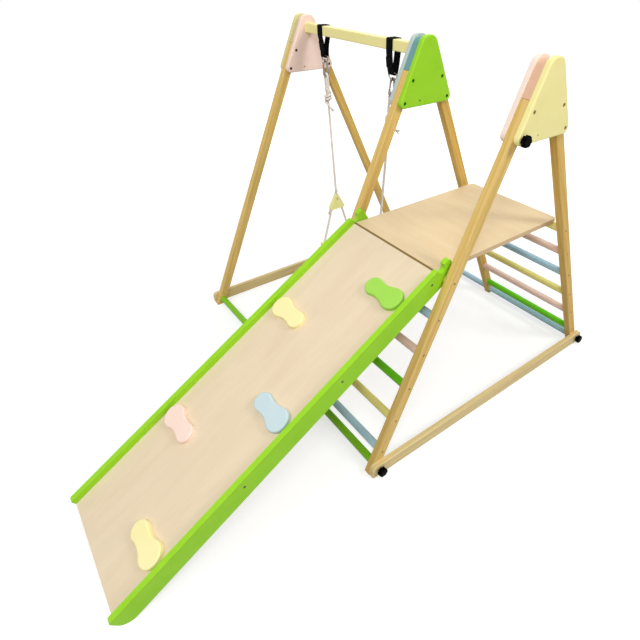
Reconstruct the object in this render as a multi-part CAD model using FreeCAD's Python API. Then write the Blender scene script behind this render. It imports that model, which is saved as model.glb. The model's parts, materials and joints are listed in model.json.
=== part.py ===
import FreeCAD, Part
import math
import os

# Wooden playset: three folding A-frames in a row, a ladder bay with a platform and a climbing
# ramp between the middle and right frames, and a toddler swing between the left and middle ones.
# Millimetres. X runs along the row to the right, Y from the ramp towards the rear, Z up.
# Everything is drawn about the foot of the middle frame's centre line, then moved at the end so
# that the origin lies on the floor under the centre of the whole footprint.

V = FreeCAD.Vector
X_AXIS = V(1, 0, 0)
Z_AXIS = V(0, 0, 1)

# Row of frames, between the mid-planes of the frames
bay_ladder = 458.0
bay_swing = 707.0

# Legs, with heights near the ridge given as drops below the point where the legs would meet
leg_thick = 27.0
leg_width = 34.0
leg_edge = 3.0
foot_spread = 550.0
ridge_height = 1200.0
leg_top_drop = 112.0

# Ridge plates on both sides of each pair of legs
plate_thick = 18.0
plate_bottom_drop = 221.0
plate_top_drop = 12.0
plate_corner = 18.0
plate_crown = 31.0
plate_edge = 5.0
plate_inner_edge = 2.5
block_gap = 1.0
block_inset = 4.0
block_drop = 9.0

# Plate bolts, and the hole that takes the front bolt when the front leg is folded back
bolt_high_drop = 138.0
bolt_low_drop = 204.0
fold_turn = 52.0
bolt_d = 6.0
bolt_head_d = 11.0
bolt_head_h = 3.0
bolt_sink = 1.5
bolt_key = 5.0
bolt_key_depth = 2.0

# Rungs and the lowest cross bars
rung_d = 26.0
rung_first = 74.0
rung_pitch = 108.0
rung_count = 6
rung_socket = 6.0
stretcher_z = 25.0

# Wood screws through the legs into the rungs and through the rails into the ramp board
screw_d = 4.0
screw_head_d = 8.0
screw_head_h = 3.0
screw_sink = 0.4
screw_bite = 30.0

# Star knobs
knob_d = 33.0
knob_h = 14.0
knob_lobes = 6
knob_lobe_d = 11.0
knob_hub_d = 16.0
knob_hub_h = 5.0
knob_round = 4.0
stud_bite = 25.0

# Floor beams
beam_thick = 18.0
beam_height = 46.0
beam_top_round = 16.0
beam_foot_round = 6.0
beam_edge = 3.0

# Swing bar
bar_size = 35.0
bar_drop = 40.5
bar_edge = 4.0
tenon_d = 20.0

# Platform
deck_thick = 15.0
deck_front_over = 25.0
deck_rear_over = 8.0
deck_corner = 12.0
deck_edge = 0.6
deck_gap = 2.0
cleat_width = 25.0
cleat_depth = 18.0
cleat_inset = 20.0

# Ramp
ramp_gap = 4.0
rail_thick = 17.0
rail_height = 66.0
rail_proud = 21.0
rail_tail = 39.0
rail_reach = 1212.0
rail_round = 12.0
tip_round = 9.0
toe_round = 34.0
rail_edge = 2.0
panel_thick = 10.0
panel_end = 1.5
panel_gap = 1.0
rail_screw_first = 42.0
rail_screw_last = 433.0
rail_screw_count = 3

# Climbing holds, shaped like a footprint
hold_big_r = 36.0
hold_small_r = 29.0
hold_spacing = 80.0
hold_waist_r = 80.0
hold_thick = 15.0
hold_round = 5.0
hold_rail_gap = 10.0
hold_first = 144.0
hold_last = 150.0
hold_count = 5

# Swing hangers: strap loop, ring, snap hook
hanger_half = 210.5
strap_width = 32.0
strap_thick = 3.0
strap_drop = 74.5
strap_bend = 7.0
ring_wire = 5.0
ring_r = 22.5
ring_corner = 4.0
hook_wire = 8.0
hook_height = 67.0
hook_top_r = 7.5
hook_foot_r = 11.0
gate_d = 6.0
gate_low = 0.3
gate_high = 0.82

# Ropes, their knots and the triangular spreaders
rope_d = 10.0
knot_d = 30.0
knot_h = 45.0
knot_round = 10.0
eye_length = 58.8
spread_rise = 270.0
spread_height = 70.0
spread_width = 76.0
spread_thick = 18.0
spread_corner = 9.0
spread_hole_d = 11.0
spread_hole_down = 21.0
rope_fan_top = 28.0

# Seat
seat_top = 138.0
seat_thick = 15.0
seat_width = 350.0
seat_depth = 264.0
seat_corner = 30.0
seat_edge = 3.0
rope_side_inset = 15.0
rope_end_inset = 23.0
sleeve_d = 24.0
sleeve_h = 74.0
side_bar_width = 22.0
side_bar_height = 20.0
side_bar_over = 18.0
cross_bar_depth = 26.0
cross_bar_height = 22.0
cross_bar_over = 10.0
seat_bar_edge = 4.0
under_knot_d = 24.0
under_knot_h = 22.0

# Clearances: around fasteners, around rung ends, between bodies that part, round a rope
fastener_gap = 0.2
socket_gap = 0.1
part_gap = 0.3
rope_gap = 0.6

# Frame geometry
lean = math.atan2(foot_spread, ridge_height)
leg_top = ridge_height - leg_top_drop
plate_bottom = ridge_height - plate_bottom_drop
plate_top = ridge_height - plate_top_drop
bolt_high = ridge_height - bolt_high_drop
bolt_low = ridge_height - bolt_low_drop
bar_top = ridge_height - bar_drop
leg_half_y = leg_width / 2.0 / math.cos(lean)
frames = {"left": -bay_swing, "middle": 0.0, "right": bay_ladder}
beam_sides = {"left": -1, "middle": 0, "right": 1}
knob_sides = {"left": 0, "middle": 0, "right": 1}
front_and_rear = {"front": -1, "rear": 1}
plate_face = leg_thick / 2.0 + plate_thick
beam_face = leg_thick / 2.0 + beam_thick
beam_half = foot_spread + leg_half_y
ladder_x = bay_ladder / 2.0
swing_x = -bay_swing / 2.0


def leg_y(side, z):
    """Y of a leg's centre line at a height, side -1 in front and 1 behind."""
    return side * foot_spread * (1.0 - z / ridge_height)


def rung_z(number):
    """Height of a rung's axis, counted from 0 at the bottom."""
    return rung_first + number * rung_pitch


def fold_hole():
    """Place of the hole that the lower front bolt reaches when its leg turns about the upper one."""
    y_high = leg_y(-1, bolt_high)
    arm = (bolt_high - bolt_low) / math.cos(lean)
    angle = math.radians(fold_turn) - lean
    return y_high + arm * math.sin(angle), bolt_high - arm * math.cos(angle)


# Ramp geometry. In the ramp's own section u runs down the slope from the hook's axis and w stands
# up from the board's top face.
rung_top_y = leg_y(-1, rung_z(rung_count - 1))
rung_top_z = rung_z(rung_count - 1)
deck_bottom = rung_top_z + rung_d / 2.0 + part_gap
deck_top = deck_bottom + deck_thick
rail_low = rail_proud - rail_height
rail_outer = bay_ladder / 2.0 - leg_thick / 2.0 - ramp_gap
rail_inner = rail_outer - rail_thick


def hook_w(angle):
    """Where the hook's axis lies so that the board's top face meets the platform's front edge."""
    return -(deck_front_over * math.sin(angle) + (deck_top - rung_top_z) * math.cos(angle))


def ramp_slope():
    """Slope at which the rounded toe of the rails just stands on the floor, found by iteration."""
    angle = math.radians(30.0)
    u_toe = rail_reach - toe_round
    for _ in range(60):
        w_toe = rail_low + toe_round - hook_w(angle)
        reach = math.hypot(u_toe, w_toe)
        angle = math.asin((rung_top_z - toe_round) / reach) + math.atan2(w_toe, u_toe)
    return angle


slope = ramp_slope()
hook_level = hook_w(slope)
deck_u = deck_front_over * math.cos(slope) - (deck_top - rung_top_z) * math.sin(slope)
panel_start = deck_u + (panel_thick * math.sin(slope) + panel_gap) / math.cos(slope)
panel_stop = rail_reach - panel_end
rail_screw_pitch = (panel_stop - rail_screw_last - deck_u - rail_screw_first) / (rail_screw_count - 1)
hold_pitch = (panel_stop - hold_last - deck_u - hold_first) / (hold_count - 1)

# Hanging line of the swing
ring_bar_z = bar_top - bar_size - strap_drop
ring_low_z = ring_bar_z - ring_r
hook_axis_top = ring_low_z + ring_wire / 2.0 + part_gap + hook_wire / 2.0
hook_top_c = hook_axis_top - hook_top_r
hook_axis_low = hook_axis_top + hook_wire - hook_height
hook_foot_c = hook_axis_low + hook_foot_r
eye_r = hook_wire / 2.0 + part_gap + rope_d / 2.0
knot_top = hook_axis_low - eye_length
spread_bottom = seat_top + spread_rise
spread_top = spread_bottom + spread_height
rope_half = seat_width / 2.0 - rope_side_inset
seat_rope_y = seat_depth / 2.0 - rope_end_inset
hang_tilt = math.degrees(math.atan2(hanger_half - rope_half, ring_low_z - spread_top))
seat_bottom = seat_top - seat_thick
fan = math.atan2(seat_rope_y - rope_fan_top, spread_bottom - seat_top)
side_bar_bottom = seat_top + sleeve_h
side_bar_top = side_bar_bottom + side_bar_height
cross_bar_bottom = side_bar_top + part_gap

# Place of the origin
knob_reach = knob_hub_h + knob_h + fastener_gap
row_left = -bay_swing - max(plate_face, beam_face)
row_right = bay_ladder + max(plate_face, beam_face) + knob_reach
tip_y = rung_top_y - (rail_reach - tip_round) * math.cos(slope)
tip_y -= (rail_proud - tip_round - hook_level) * math.sin(slope)
origin = V((row_left + row_right) / 2.0, (tip_y - tip_round + beam_half) / 2.0, 0)


def single(shape):
    """The one solid of a shape."""
    solids = shape.Solids
    if len(solids) != 1:
        raise ValueError("expected one solid, found %d" % len(solids))
    return solids[0]


def prism_x(points, x_low, thickness):
    """Solid with an outline in the YZ plane, from x_low along X."""
    corners = [V(x_low, y, z) for y, z in points]
    face = Part.Face(Part.makePolygon(corners + corners[:1]))
    return face.extrude(V(thickness, 0, 0))


def block(low, high):
    """Box between two corners."""
    size = high - low
    return Part.makeBox(size.x, size.y, size.z, low)


def rod_x(x_low, x_high, y, z, diameter):
    """Round bar along X."""
    return Part.makeCylinder(diameter / 2.0, x_high - x_low, V(x_low, y, z), X_AXIS)


def straight(edge, axis):
    """Whether an edge is a straight line along an axis."""
    if not isinstance(edge.Curve, Part.Line):
        return False
    return abs(abs(edge.tangentAt(edge.FirstParameter).dot(axis)) - 1.0) < 1e-6


def in_plane(edge, axis, level):
    """Whether an edge lies in the plane at a level along an axis."""
    points = edge.discretize(3)
    return all(abs(p.dot(axis) - level) < 1e-4 for p in points)


def runs_at(edge, y, z):
    """Whether an edge runs along X through a place in the section across it."""
    middle = edge.CenterOfMass
    return straight(edge, X_AXIS) and math.hypot(middle.y - y, middle.z - z) < 1e-4


def rounded(shape, radius, chosen):
    """Shape with the chosen edges rounded."""
    edges = [e for e in shape.Edges if chosen(e)]
    return single(shape.makeFillet(radius, edges))


def hex_socket(x, sign, y, z):
    """Hexagonal key hole sunk into a bolt head whose outer face is at x."""
    radius = bolt_key / math.sqrt(3.0)
    turns = [math.radians(60 * k) for k in range(6)]
    points = [(y + radius * math.cos(a), z + radius * math.sin(a)) for a in turns]
    return prism_x(points, x - max(sign, 0) * bolt_key_depth, bolt_key_depth)


def headed_pin(x_face, sign, y, z, sink, head, shank):
    """Screw or bolt that enters a face from the sign side: head and shank are (diameter, length)."""
    x_head = x_face - sign * sink
    x_neck = x_head - sign * head[1]
    x_tip = x_neck - sign * shank[1]
    body = rod_x(min(x_head, x_neck), max(x_head, x_neck), y, z, head[0])
    return single(body.fuse(rod_x(min(x_neck, x_tip), max(x_neck, x_tip), y, z, shank[0])))


def pin_room(x_face, sign, y, z, sink, head, shank):
    """Hole that a headed pin needs, open at the face."""
    x_neck = x_face - sign * (sink + head[1])
    x_tip = x_neck - sign * (shank[1] + fastener_gap)
    wide = rod_x(min(x_face, x_neck), max(x_face, x_neck), y, z, head[0] + 2 * fastener_gap)
    return wide.fuse(rod_x(min(x_neck, x_tip), max(x_neck, x_tip), y, z, shank[0] + 2 * fastener_gap))


def tube(path, diameter):
    """Round tube along straight and circular edges that join end to end."""
    runs = []
    for edge in path:
        start = edge.valueAt(edge.FirstParameter)
        heading = edge.tangentAt(edge.FirstParameter)
        disc = Part.Face(Part.Wire(Part.makeCircle(diameter / 2.0, start, heading)))
        if isinstance(edge.Curve, Part.Circle):
            turn = math.degrees(edge.LastParameter - edge.FirstParameter)
            runs.append(disc.revolve(edge.Curve.Center, edge.Curve.Axis, turn))
        else:
            runs.append(disc.extrude(edge.valueAt(edge.LastParameter) - start))
    return single(runs[0].multiFuse(runs[1:])) if len(runs) > 1 else runs[0]


def line(start, end):
    """Straight edge."""
    return Part.LineSegment(start, end).toShape()


def arc(start, middle, end):
    """Circular edge through three points."""
    return Part.Arc(start, middle, end).toShape()


# Legs

def rung_screw(face_x, sign, y, z):
    """Sizes and place of the screw that holds a rung's end from a leg's outer face."""
    grip = leg_thick - rung_socket - screw_sink - screw_head_h
    return face_x, sign, y, z, screw_sink, (screw_head_d, screw_head_h), (screw_d, grip + screw_bite)


def rung_screws_of(frame):
    """Screws of one frame's legs: the outer side of the right frame, the swing side of the middle."""
    sign = {"middle": -1, "right": 1}[frame]
    face_x = frames[frame] + sign * leg_thick / 2.0
    found = []
    for side in front_and_rear.values():
        for number in range(rung_count):
            z = rung_z(number)
            found.append(rung_screw(face_x, sign, leg_y(side, z), z))
    return found


def socket(face_x, inward, y, z):
    """Blind hole for a rung's end, cut into a leg from its face."""
    far = face_x + inward * rung_socket
    return rod_x(min(face_x, far), max(face_x, far), y, z, rung_d + 2 * socket_gap)


def leg(frame, side):
    """One leg with its rung sockets and the holes for bolts, screws and studs."""
    x_mid = frames[frame]
    x_low = x_mid - leg_thick / 2.0
    x_high = x_mid + leg_thick / 2.0
    foot = leg_y(side, 0.0)
    head = leg_y(side, leg_top)
    outline = [(foot - leg_half_y, 0), (foot + leg_half_y, 0)]
    outline += [(head + leg_half_y, leg_top), (head - leg_half_y, leg_top)]
    along = V(0, -side * math.sin(lean), math.cos(lean))
    body = rounded(prism_x(outline, x_low, leg_thick), leg_edge, lambda e: straight(e, along))
    cuts = []
    for z in (bolt_high, bolt_low):
        cuts.append(rod_x(x_low, x_high, leg_y(side, z), z, bolt_d + 2 * fastener_gap))
    low_y = leg_y(side, stretcher_z)
    if frame != "right":
        cuts.append(socket(x_high, -1, low_y, stretcher_z))
    if frame != "left":
        cuts.append(socket(x_low, 1, low_y, stretcher_z))
        cuts += [pin_room(*pin) for pin in rung_screws_of(frame) if pin[2] * side > 0]
        face_x, inward = (x_low, 1) if frame == "right" else (x_high, -1)
        for number in range(rung_count):
            cuts.append(socket(face_x, inward, leg_y(side, rung_z(number)), rung_z(number)))
    if beam_sides[frame]:
        cuts.append(rod_x(x_low, x_high, low_y, stretcher_z, bolt_d + 2 * fastener_gap))
    return single(body.cut(cuts))


# Ridge plates, filler blocks and their bolts

def plate_outline(x_low, thickness, inset, drop):
    """Ridge plate blank with rounded corners, set in from the legs' edges and lowered at its top."""
    top = plate_top - drop
    half_low = leg_y(1, plate_bottom) + leg_half_y - inset
    half_high = leg_y(1, top) + leg_half_y - inset
    outline = [(-half_low, plate_bottom), (half_low, plate_bottom)]
    outline += [(half_high, top), (-half_high, top)]
    blank = prism_x(outline, x_low, thickness)
    middle = (plate_bottom + top) / 2.0
    blank = rounded(blank, plate_corner, lambda e: straight(e, X_AXIS) and e.CenterOfMass.z < middle)
    return rounded(blank, plate_crown - inset, lambda e: straight(e, X_AXIS) and e.CenterOfMass.z > middle)


def bolt_places():
    """Y and Z of the four bolts of a frame, with whether the place takes a knob."""
    places = []
    for side in front_and_rear.values():
        for z in (bolt_high, bolt_low):
            places.append((leg_y(side, z), z, side == -1 and z == bolt_low))
    return places


def bolt_recess(face_x, sign, y, z):
    """Counterbore for a bolt head or nut."""
    far = face_x - sign * (bolt_sink + bolt_head_h)
    return rod_x(min(face_x, far), max(face_x, far), y, z, bolt_head_d + 2 * fastener_gap)


def ridge_plate(frame, sign):
    """Plate on one side of a frame, sign 1 on the right and -1 on the left."""
    x_mid = frames[frame]
    inner = x_mid + sign * leg_thick / 2.0
    outer = x_mid + sign * plate_face
    blank = plate_outline(min(inner, outer), plate_thick, 0.0, 0.0)
    body = rounded(blank, plate_edge, lambda e: in_plane(e, X_AXIS, outer))
    body = rounded(body, plate_inner_edge, lambda e: in_plane(e, X_AXIS, inner))
    cuts = []
    for y, z, takes_knob in bolt_places():
        cuts.append(rod_x(min(inner, outer), max(inner, outer), y, z, bolt_d + 2 * fastener_gap))
        if not (takes_knob and knob_sides[frame] == sign):
            cuts.append(bolt_recess(outer, sign, y, z))
    y, z = fold_hole()
    cuts.append(rod_x(min(inner, outer), max(inner, outer), y, z, bolt_d + 2 * fastener_gap))
    if (frame, sign) in (("left", 1), ("middle", -1)):
        cuts.append(rod_x(min(inner, outer), max(inner, outer), 0, bar_top - bar_size / 2.0,
                          tenon_d + 2 * socket_gap))
    return single(body.cut(cuts))


def apex_block(frame):
    """Painted filler between the two plates, above the legs and set in from the plates' edges."""
    x_low = frames[frame] - leg_thick / 2.0
    blank = plate_outline(x_low, leg_thick, block_inset, block_drop)
    half = leg_y(1, plate_bottom) + leg_half_y
    keep = block(V(x_low, -half, leg_top + block_gap), V(x_low + leg_thick, half, plate_top))
    return single(blank.common(keep))


def frame_bolts(frame):
    """Bolts and nuts of one frame: heads in the right plate, nuts in the left one."""
    x_mid = frames[frame]
    knob_sign = knob_sides[frame]
    shank = 2 * (plate_face - bolt_sink - bolt_head_h)
    head = (bolt_head_d, bolt_head_h)
    solids = []
    for y, z, takes_knob in bolt_places():
        if takes_knob and knob_sign:
            x_face = x_mid - knob_sign * (plate_face - bolt_sink)
            x_back = x_face + knob_sign * bolt_head_h
            nut = rod_x(min(x_face, x_back), max(x_face, x_back), y, z, bolt_head_d)
            bore = rod_x(min(x_face, x_back), max(x_face, x_back), y, z, bolt_d + 2 * fastener_gap)
            solids.append(single(nut.cut(bore)))
            continue
        bolt = headed_pin(x_mid + plate_face, 1, y, z, bolt_sink, head, (bolt_d, shank))
        solids.append(single(bolt.cut(hex_socket(x_mid + plate_face - bolt_sink, 1, y, z))))
        x_nut = x_mid - plate_face + bolt_sink
        nut = rod_x(x_nut, x_nut + bolt_head_h, y, z, bolt_head_d)
        solids.append(single(nut.cut(hex_socket(x_nut, -1, y, z))))
    return solids


def star_knob(face_x, sign, y, z, stud):
    """Lobed knob with its stud, screwed against a face from the sign side."""
    x_hub = face_x + sign * fastener_gap
    x_head = x_hub + sign * knob_hub_h
    x_end = x_head + sign * knob_h
    x_tip = face_x - sign * stud
    low, high = min(x_head, x_end), max(x_head, x_end)
    lobe_at = (knob_d - knob_lobe_d) / 2.0
    lobes = []
    for number in range(knob_lobes):
        angle = 2.0 * math.pi * number / knob_lobes
        lobe_y = y + lobe_at * math.cos(angle)
        lobe_z = z + lobe_at * math.sin(angle)
        lobes.append(rod_x(low, high, lobe_y, lobe_z, knob_lobe_d))
    star = rod_x(low, high, y, z, 2.0 * lobe_at).multiFuse(lobes)
    bun = rounded(rod_x(low, high, y, z, knob_d), knob_round, lambda e: in_plane(e, X_AXIS, x_end))
    hub = rod_x(min(x_hub, x_head), max(x_hub, x_head), y, z, knob_hub_d)
    shank = rod_x(min(x_hub, x_tip), max(x_hub, x_tip), y, z, bolt_d)
    return single(star.common(bun).multiFuse([hub, shank]))


def plate_knob(frame):
    """Knob in place of the lower front bolt, on the outer plate of an end frame."""
    sign = knob_sides[frame]
    stud = 2 * plate_face - bolt_sink
    return star_knob(frames[frame] + sign * plate_face, sign, leg_y(-1, bolt_low), bolt_low, stud)


def foot_knob(frame, side):
    """Knob that clamps a floor beam and a leg to the end of the lowest cross bar."""
    sign = knob_sides[frame]
    stud = beam_thick + leg_thick - rung_socket + stud_bite
    return star_knob(frames[frame] + sign * beam_face, sign, leg_y(side, stretcher_z), stretcher_z, stud)


def foot_bolt(frame, side):
    """Sunk bolt that does the same where a frame has no knobs."""
    sign = beam_sides[frame]
    x_face = frames[frame] + sign * beam_face
    y = leg_y(side, stretcher_z)
    shank = beam_thick - bolt_sink - bolt_head_h + leg_thick - rung_socket + stud_bite
    bolt = headed_pin(x_face, sign, y, stretcher_z, bolt_sink, (bolt_head_d, bolt_head_h), (bolt_d, shank))
    return single(bolt.cut(hex_socket(x_face - sign * bolt_sink, sign, y, stretcher_z)))


# Rungs, lowest cross bars and floor beams

def rung(side, number):
    """Round rung between the middle and right legs, drilled at both ends for its screws."""
    z = rung_z(number)
    y = leg_y(side, z)
    x_low = leg_thick / 2.0 - rung_socket
    x_high = bay_ladder - leg_thick / 2.0 + rung_socket
    body = rod_x(x_low, x_high, y, z, rung_d)
    pins = [rung_screw(-leg_thick / 2.0, -1, y, z), rung_screw(bay_ladder + leg_thick / 2.0, 1, y, z)]
    return single(body.cut([pin_room(*pin) for pin in pins]))


def stretcher(side, x_from, x_to, stud_end):
    """Lowest cross bar of one bay, with the threaded end that takes a knob's stud."""
    x_low = x_from + leg_thick / 2.0 - rung_socket
    x_high = x_to - leg_thick / 2.0 + rung_socket
    y = leg_y(side, stretcher_z)
    body = rod_x(x_low, x_high, y, stretcher_z, rung_d)
    depth = stud_bite + fastener_gap
    bore_low = x_low if stud_end < 0 else x_high - depth
    return single(body.cut(rod_x(bore_low, bore_low + depth, y, stretcher_z, bolt_d + 2 * fastener_gap)))


def stretchers(side):
    """Lowest cross bars of both bays on one side."""
    return [stretcher(side, -bay_swing, 0.0, -1), stretcher(side, 0.0, bay_ladder, 1)]


def floor_beam(frame):
    """Board on the floor along the outer side of an end frame, from foot to foot."""
    sign = beam_sides[frame]
    inner = frames[frame] + sign * leg_thick / 2.0
    outer = frames[frame] + sign * beam_face
    body = block(V(min(inner, outer), -beam_half, 0), V(max(inner, outer), beam_half, beam_height))
    middle = beam_height / 2.0
    body = rounded(body, beam_top_round, lambda e: straight(e, X_AXIS) and e.CenterOfMass.z > middle)
    body = rounded(body, beam_foot_round, lambda e: straight(e, X_AXIS) and e.CenterOfMass.z < middle)
    body = rounded(body, beam_edge, lambda e: in_plane(e, X_AXIS, outer) and e.CenterOfMass.z > middle / 2.0)
    holes = []
    for side in front_and_rear.values():
        y = leg_y(side, stretcher_z)
        holes.append(rod_x(min(inner, outer), max(inner, outer), y, stretcher_z, bolt_d + 2 * fastener_gap))
        if not knob_sides[frame]:
            holes.append(bolt_recess(outer, sign, y, stretcher_z))
    return single(body.cut(holes))


# Swing bar and its strap loops

def swing_bar():
    """Square bar between the left and middle frames, with a round tenon in each plate."""
    x_low = -bay_swing + plate_face
    x_high = -plate_face
    half = bar_size / 2.0
    body = block(V(x_low, -half, bar_top - bar_size), V(x_high, half, bar_top))
    body = rounded(body, bar_edge, lambda e: straight(e, X_AXIS))
    tenon = rod_x(x_low - plate_thick, x_high + plate_thick, 0, bar_top - half, tenon_d)
    return single(body.fuse(tenon))


def strap_outline(x_mid, skin):
    """Room inside the webbing loop, grown all round by a skin: the bar, two sloping sides and a bend."""
    x_low = x_mid - strap_width / 2.0
    side = bar_size / 2.0 + part_gap + skin
    top = bar_top + part_gap + skin
    under = bar_top - bar_size
    bend = ring_bar_z - ring_wire / 2.0 - part_gap + strap_bend
    waist = strap_bend + skin
    outline = [(-side, top), (side, top), (side, under), (waist, bend), (-waist, bend), (-side, under)]
    turn = rod_x(x_low, x_low + strap_width, 0, bend, 2 * waist)
    return prism_x(outline, x_low, strap_width).fuse(turn)


def strap_loop(x_mid):
    """Webbing loop round the swing bar, with the ring's straight side in its lowest bend."""
    web = strap_outline(x_mid, strap_thick)
    return single(web.cut(strap_outline(x_mid, 0.0)))


# Platform

def deck():
    """Platform board on the two top rungs, between the rails of the ramp."""
    half = rail_inner - deck_gap
    y_front = rung_top_y - deck_front_over
    y_rear = -rung_top_y + deck_rear_over
    body = block(V(ladder_x - half, y_front, deck_bottom), V(ladder_x + half, y_rear, deck_top))
    body = rounded(body, deck_corner, lambda e: straight(e, Z_AXIS) and e.CenterOfMass.y > 0)
    return rounded(body, deck_edge, lambda e: in_plane(e, Z_AXIS, deck_top))


def cleats():
    """Two battens under the platform, just inside the rungs, that keep it from sliding off."""
    half = rail_inner - deck_gap - cleat_inset
    near = rung_top_y + rung_d / 2.0 + part_gap
    solids = []
    for y in (near, -near - cleat_width):
        low = V(ladder_x - half, y, deck_bottom - cleat_depth)
        solids.append(block(low, V(ladder_x + half, y + cleat_width, deck_bottom)))
    return solids


# Ramp. The pieces are drawn flat, up the slope along Y and with the board's top face at Z = 0,
# then turned about the hook's axis and set on the top front rung.

def on_slope(shape):
    """Ramp piece moved from the flat drawing to its place on the rung."""
    turned = shape.copy()
    turned.rotate(V(0, 0, hook_level), X_AXIS, math.degrees(slope))
    turned.translate(V(ladder_x, rung_top_y, rung_top_z - hook_level))
    return turned


def rail_screw_rows():
    """Distances up the drawing of the screws that hold the board between the rails."""
    return [-(deck_u + rail_screw_first + k * rail_screw_pitch) for k in range(rail_screw_count)]


def rail_screw(sign, y):
    """Sizes and place of one rail screw, sign 1 in the right rail."""
    grip = rail_thick - screw_sink - screw_head_h
    shank = (screw_d, grip + screw_bite)
    return sign * rail_outer, sign, y, -panel_thick / 2.0, screw_sink, (screw_head_d, screw_head_h), shank


def hook_slot(x_low, upper):
    """Round-ended slot that drops over a rung, open to the lower or the upper edge of the rail."""
    width = rung_d + 2 * part_gap
    centre = rail_low + rail_proud - hook_level if upper else hook_level
    edge = rail_proud if upper else rail_low
    low, high = min(centre, edge), max(centre, edge)
    way_out = block(V(x_low, -width / 2.0, low), V(x_low + rail_thick, width / 2.0, high))
    return rod_x(x_low, x_low + rail_thick, 0, centre, width).fuse(way_out)


def ramp_rail(sign):
    """Side rail with rounded ends and a hook slot on both edges, so that the ramp can be turned over."""
    x_low = min(sign * rail_inner, sign * rail_outer)
    body = block(V(x_low, -rail_reach, rail_low), V(x_low + rail_thick, rail_tail, rail_proud))
    body = rounded(body, rail_round, lambda e: straight(e, X_AXIS) and e.CenterOfMass.y > 0)
    body = rounded(body, tip_round, lambda e: runs_at(e, -rail_reach, rail_proud))
    body = rounded(body, toe_round, lambda e: runs_at(e, -rail_reach, rail_low))
    body = rounded(body, rail_edge, lambda e: abs(e.CenterOfMass.x - x_low - rail_thick / 2.0) > 1.0)
    cuts = [hook_slot(x_low, False), hook_slot(x_low, True)]
    cuts += [pin_room(*rail_screw(sign, y)) for y in rail_screw_rows()]
    return on_slope(single(body.cut(cuts)))


def ramp_panel():
    """Climbing board between the rails."""
    body = block(V(-rail_inner, -panel_stop, -panel_thick), V(rail_inner, -panel_start, 0))
    cuts = [pin_room(*rail_screw(sign, y)) for sign in (-1, 1) for y in rail_screw_rows()]
    return on_slope(single(body.cut(cuts)))


def rail_screws():
    """All screws of the ramp."""
    pins = [rail_screw(sign, y) for sign in (-1, 1) for y in rail_screw_rows()]
    return [on_slope(headed_pin(*pin)) for pin in pins]


def hold(number, sign):
    """Climbing hold with its big lobe beside the right (1) or left (-1) rail."""
    reach_big = hold_big_r + hold_waist_r
    reach_small = hold_small_r + hold_waist_r
    waist_x = (hold_spacing ** 2 + reach_big ** 2 - reach_small ** 2) / (2.0 * hold_spacing)
    waist_y = math.sqrt(reach_big ** 2 - waist_x ** 2)
    big_x = waist_x * hold_big_r / reach_big
    big_y = waist_y * hold_big_r / reach_big
    small_x = hold_spacing + (waist_x - hold_spacing) * hold_small_r / reach_small
    small_y = waist_y * hold_small_r / reach_small
    neck = V(waist_x, waist_y - hold_waist_r, 0)
    edges = [
        arc(V(big_x, big_y, 0), V(-hold_big_r, 0, 0), V(big_x, -big_y, 0)),
        arc(V(big_x, -big_y, 0), V(neck.x, -neck.y, 0), V(small_x, -small_y, 0)),
        arc(V(small_x, -small_y, 0), V(hold_spacing + hold_small_r, 0, 0), V(small_x, small_y, 0)),
        arc(V(small_x, small_y, 0), neck, V(big_x, big_y, 0)),
    ]
    body = Part.Face(Part.Wire(edges)).extrude(V(0, 0, hold_thick))
    body = rounded(body, hold_round, lambda e: in_plane(e, Z_AXIS, hold_thick))
    if sign > 0:
        body.rotate(V(0, 0, 0), Z_AXIS, 180)
    x = sign * (rail_inner - hold_rail_gap - hold_big_r)
    body.translate(V(x, -(deck_u + hold_first + number * hold_pitch), 0))
    return on_slope(body)


# Swing

def ring(x_mid):
    """D-shaped ring whose straight top bar turns in the eye of the strap."""
    reach = ring_r - ring_corner
    half = math.sqrt(reach ** 2 - ring_corner ** 2)

    def at(x, z):
        return V(x_mid + x, 0, ring_bar_z + z)

    touch_x = half * ring_r / reach
    touch_z = -ring_corner * ring_r / reach
    middle = (math.pi / 2.0 + math.atan2(-ring_corner, half)) / 2.0
    bow_x = half + ring_corner * math.cos(middle)
    bow_z = ring_corner * (math.sin(middle) - 1.0)
    path = [
        line(at(-half, 0), at(half, 0)),
        arc(at(half, 0), at(bow_x, bow_z), at(touch_x, touch_z)),
        arc(at(touch_x, touch_z), at(0, -ring_r), at(-touch_x, touch_z)),
        arc(at(-touch_x, touch_z), at(-bow_x, bow_z), at(-half, 0)),
    ]
    return tube(path, ring_wire)


def hook_sides():
    """Tangent points of the snap hook's two straight sides, as (y, z) from the spine's side."""
    sine = (hook_foot_r - hook_top_r) / (hook_top_c - hook_foot_c)
    cosine = math.sqrt(1.0 - sine ** 2)
    top = (hook_top_r * cosine, hook_top_c + hook_top_r * sine)
    foot = (hook_foot_r * cosine, hook_foot_c + hook_foot_r * sine)
    return top, foot


def gate_ends():
    """Lower and upper end of the gate's opening on the front side of the hook."""
    top, foot = hook_sides()
    ends = []
    for share in (gate_low, gate_high):
        ends.append(V(0, -(foot[0] + share * (top[0] - foot[0])), foot[1] + share * (top[1] - foot[1])))
    return ends


def hook_body():
    """Snap hook without its gate, hanging upright under the middle of the ring."""
    top, foot = hook_sides()
    low_end, high_end = gate_ends()
    path = [
        line(high_end, V(0, -top[0], top[1])),
        arc(V(0, -top[0], top[1]), V(0, 0, hook_axis_top), V(0, top[0], top[1])),
        line(V(0, top[0], top[1]), V(0, foot[0], foot[1])),
        arc(V(0, foot[0], foot[1]), V(0, 0, hook_axis_low), V(0, -foot[0], foot[1])),
        line(V(0, -foot[0], foot[1]), low_end),
    ]
    return tube(path, hook_wire)


def gate_pivot():
    """Point about which the gate turns."""
    low_end, high_end = gate_ends()
    along = (high_end - low_end).normalize()
    return low_end + along * (part_gap + gate_d / 2.0)


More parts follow.
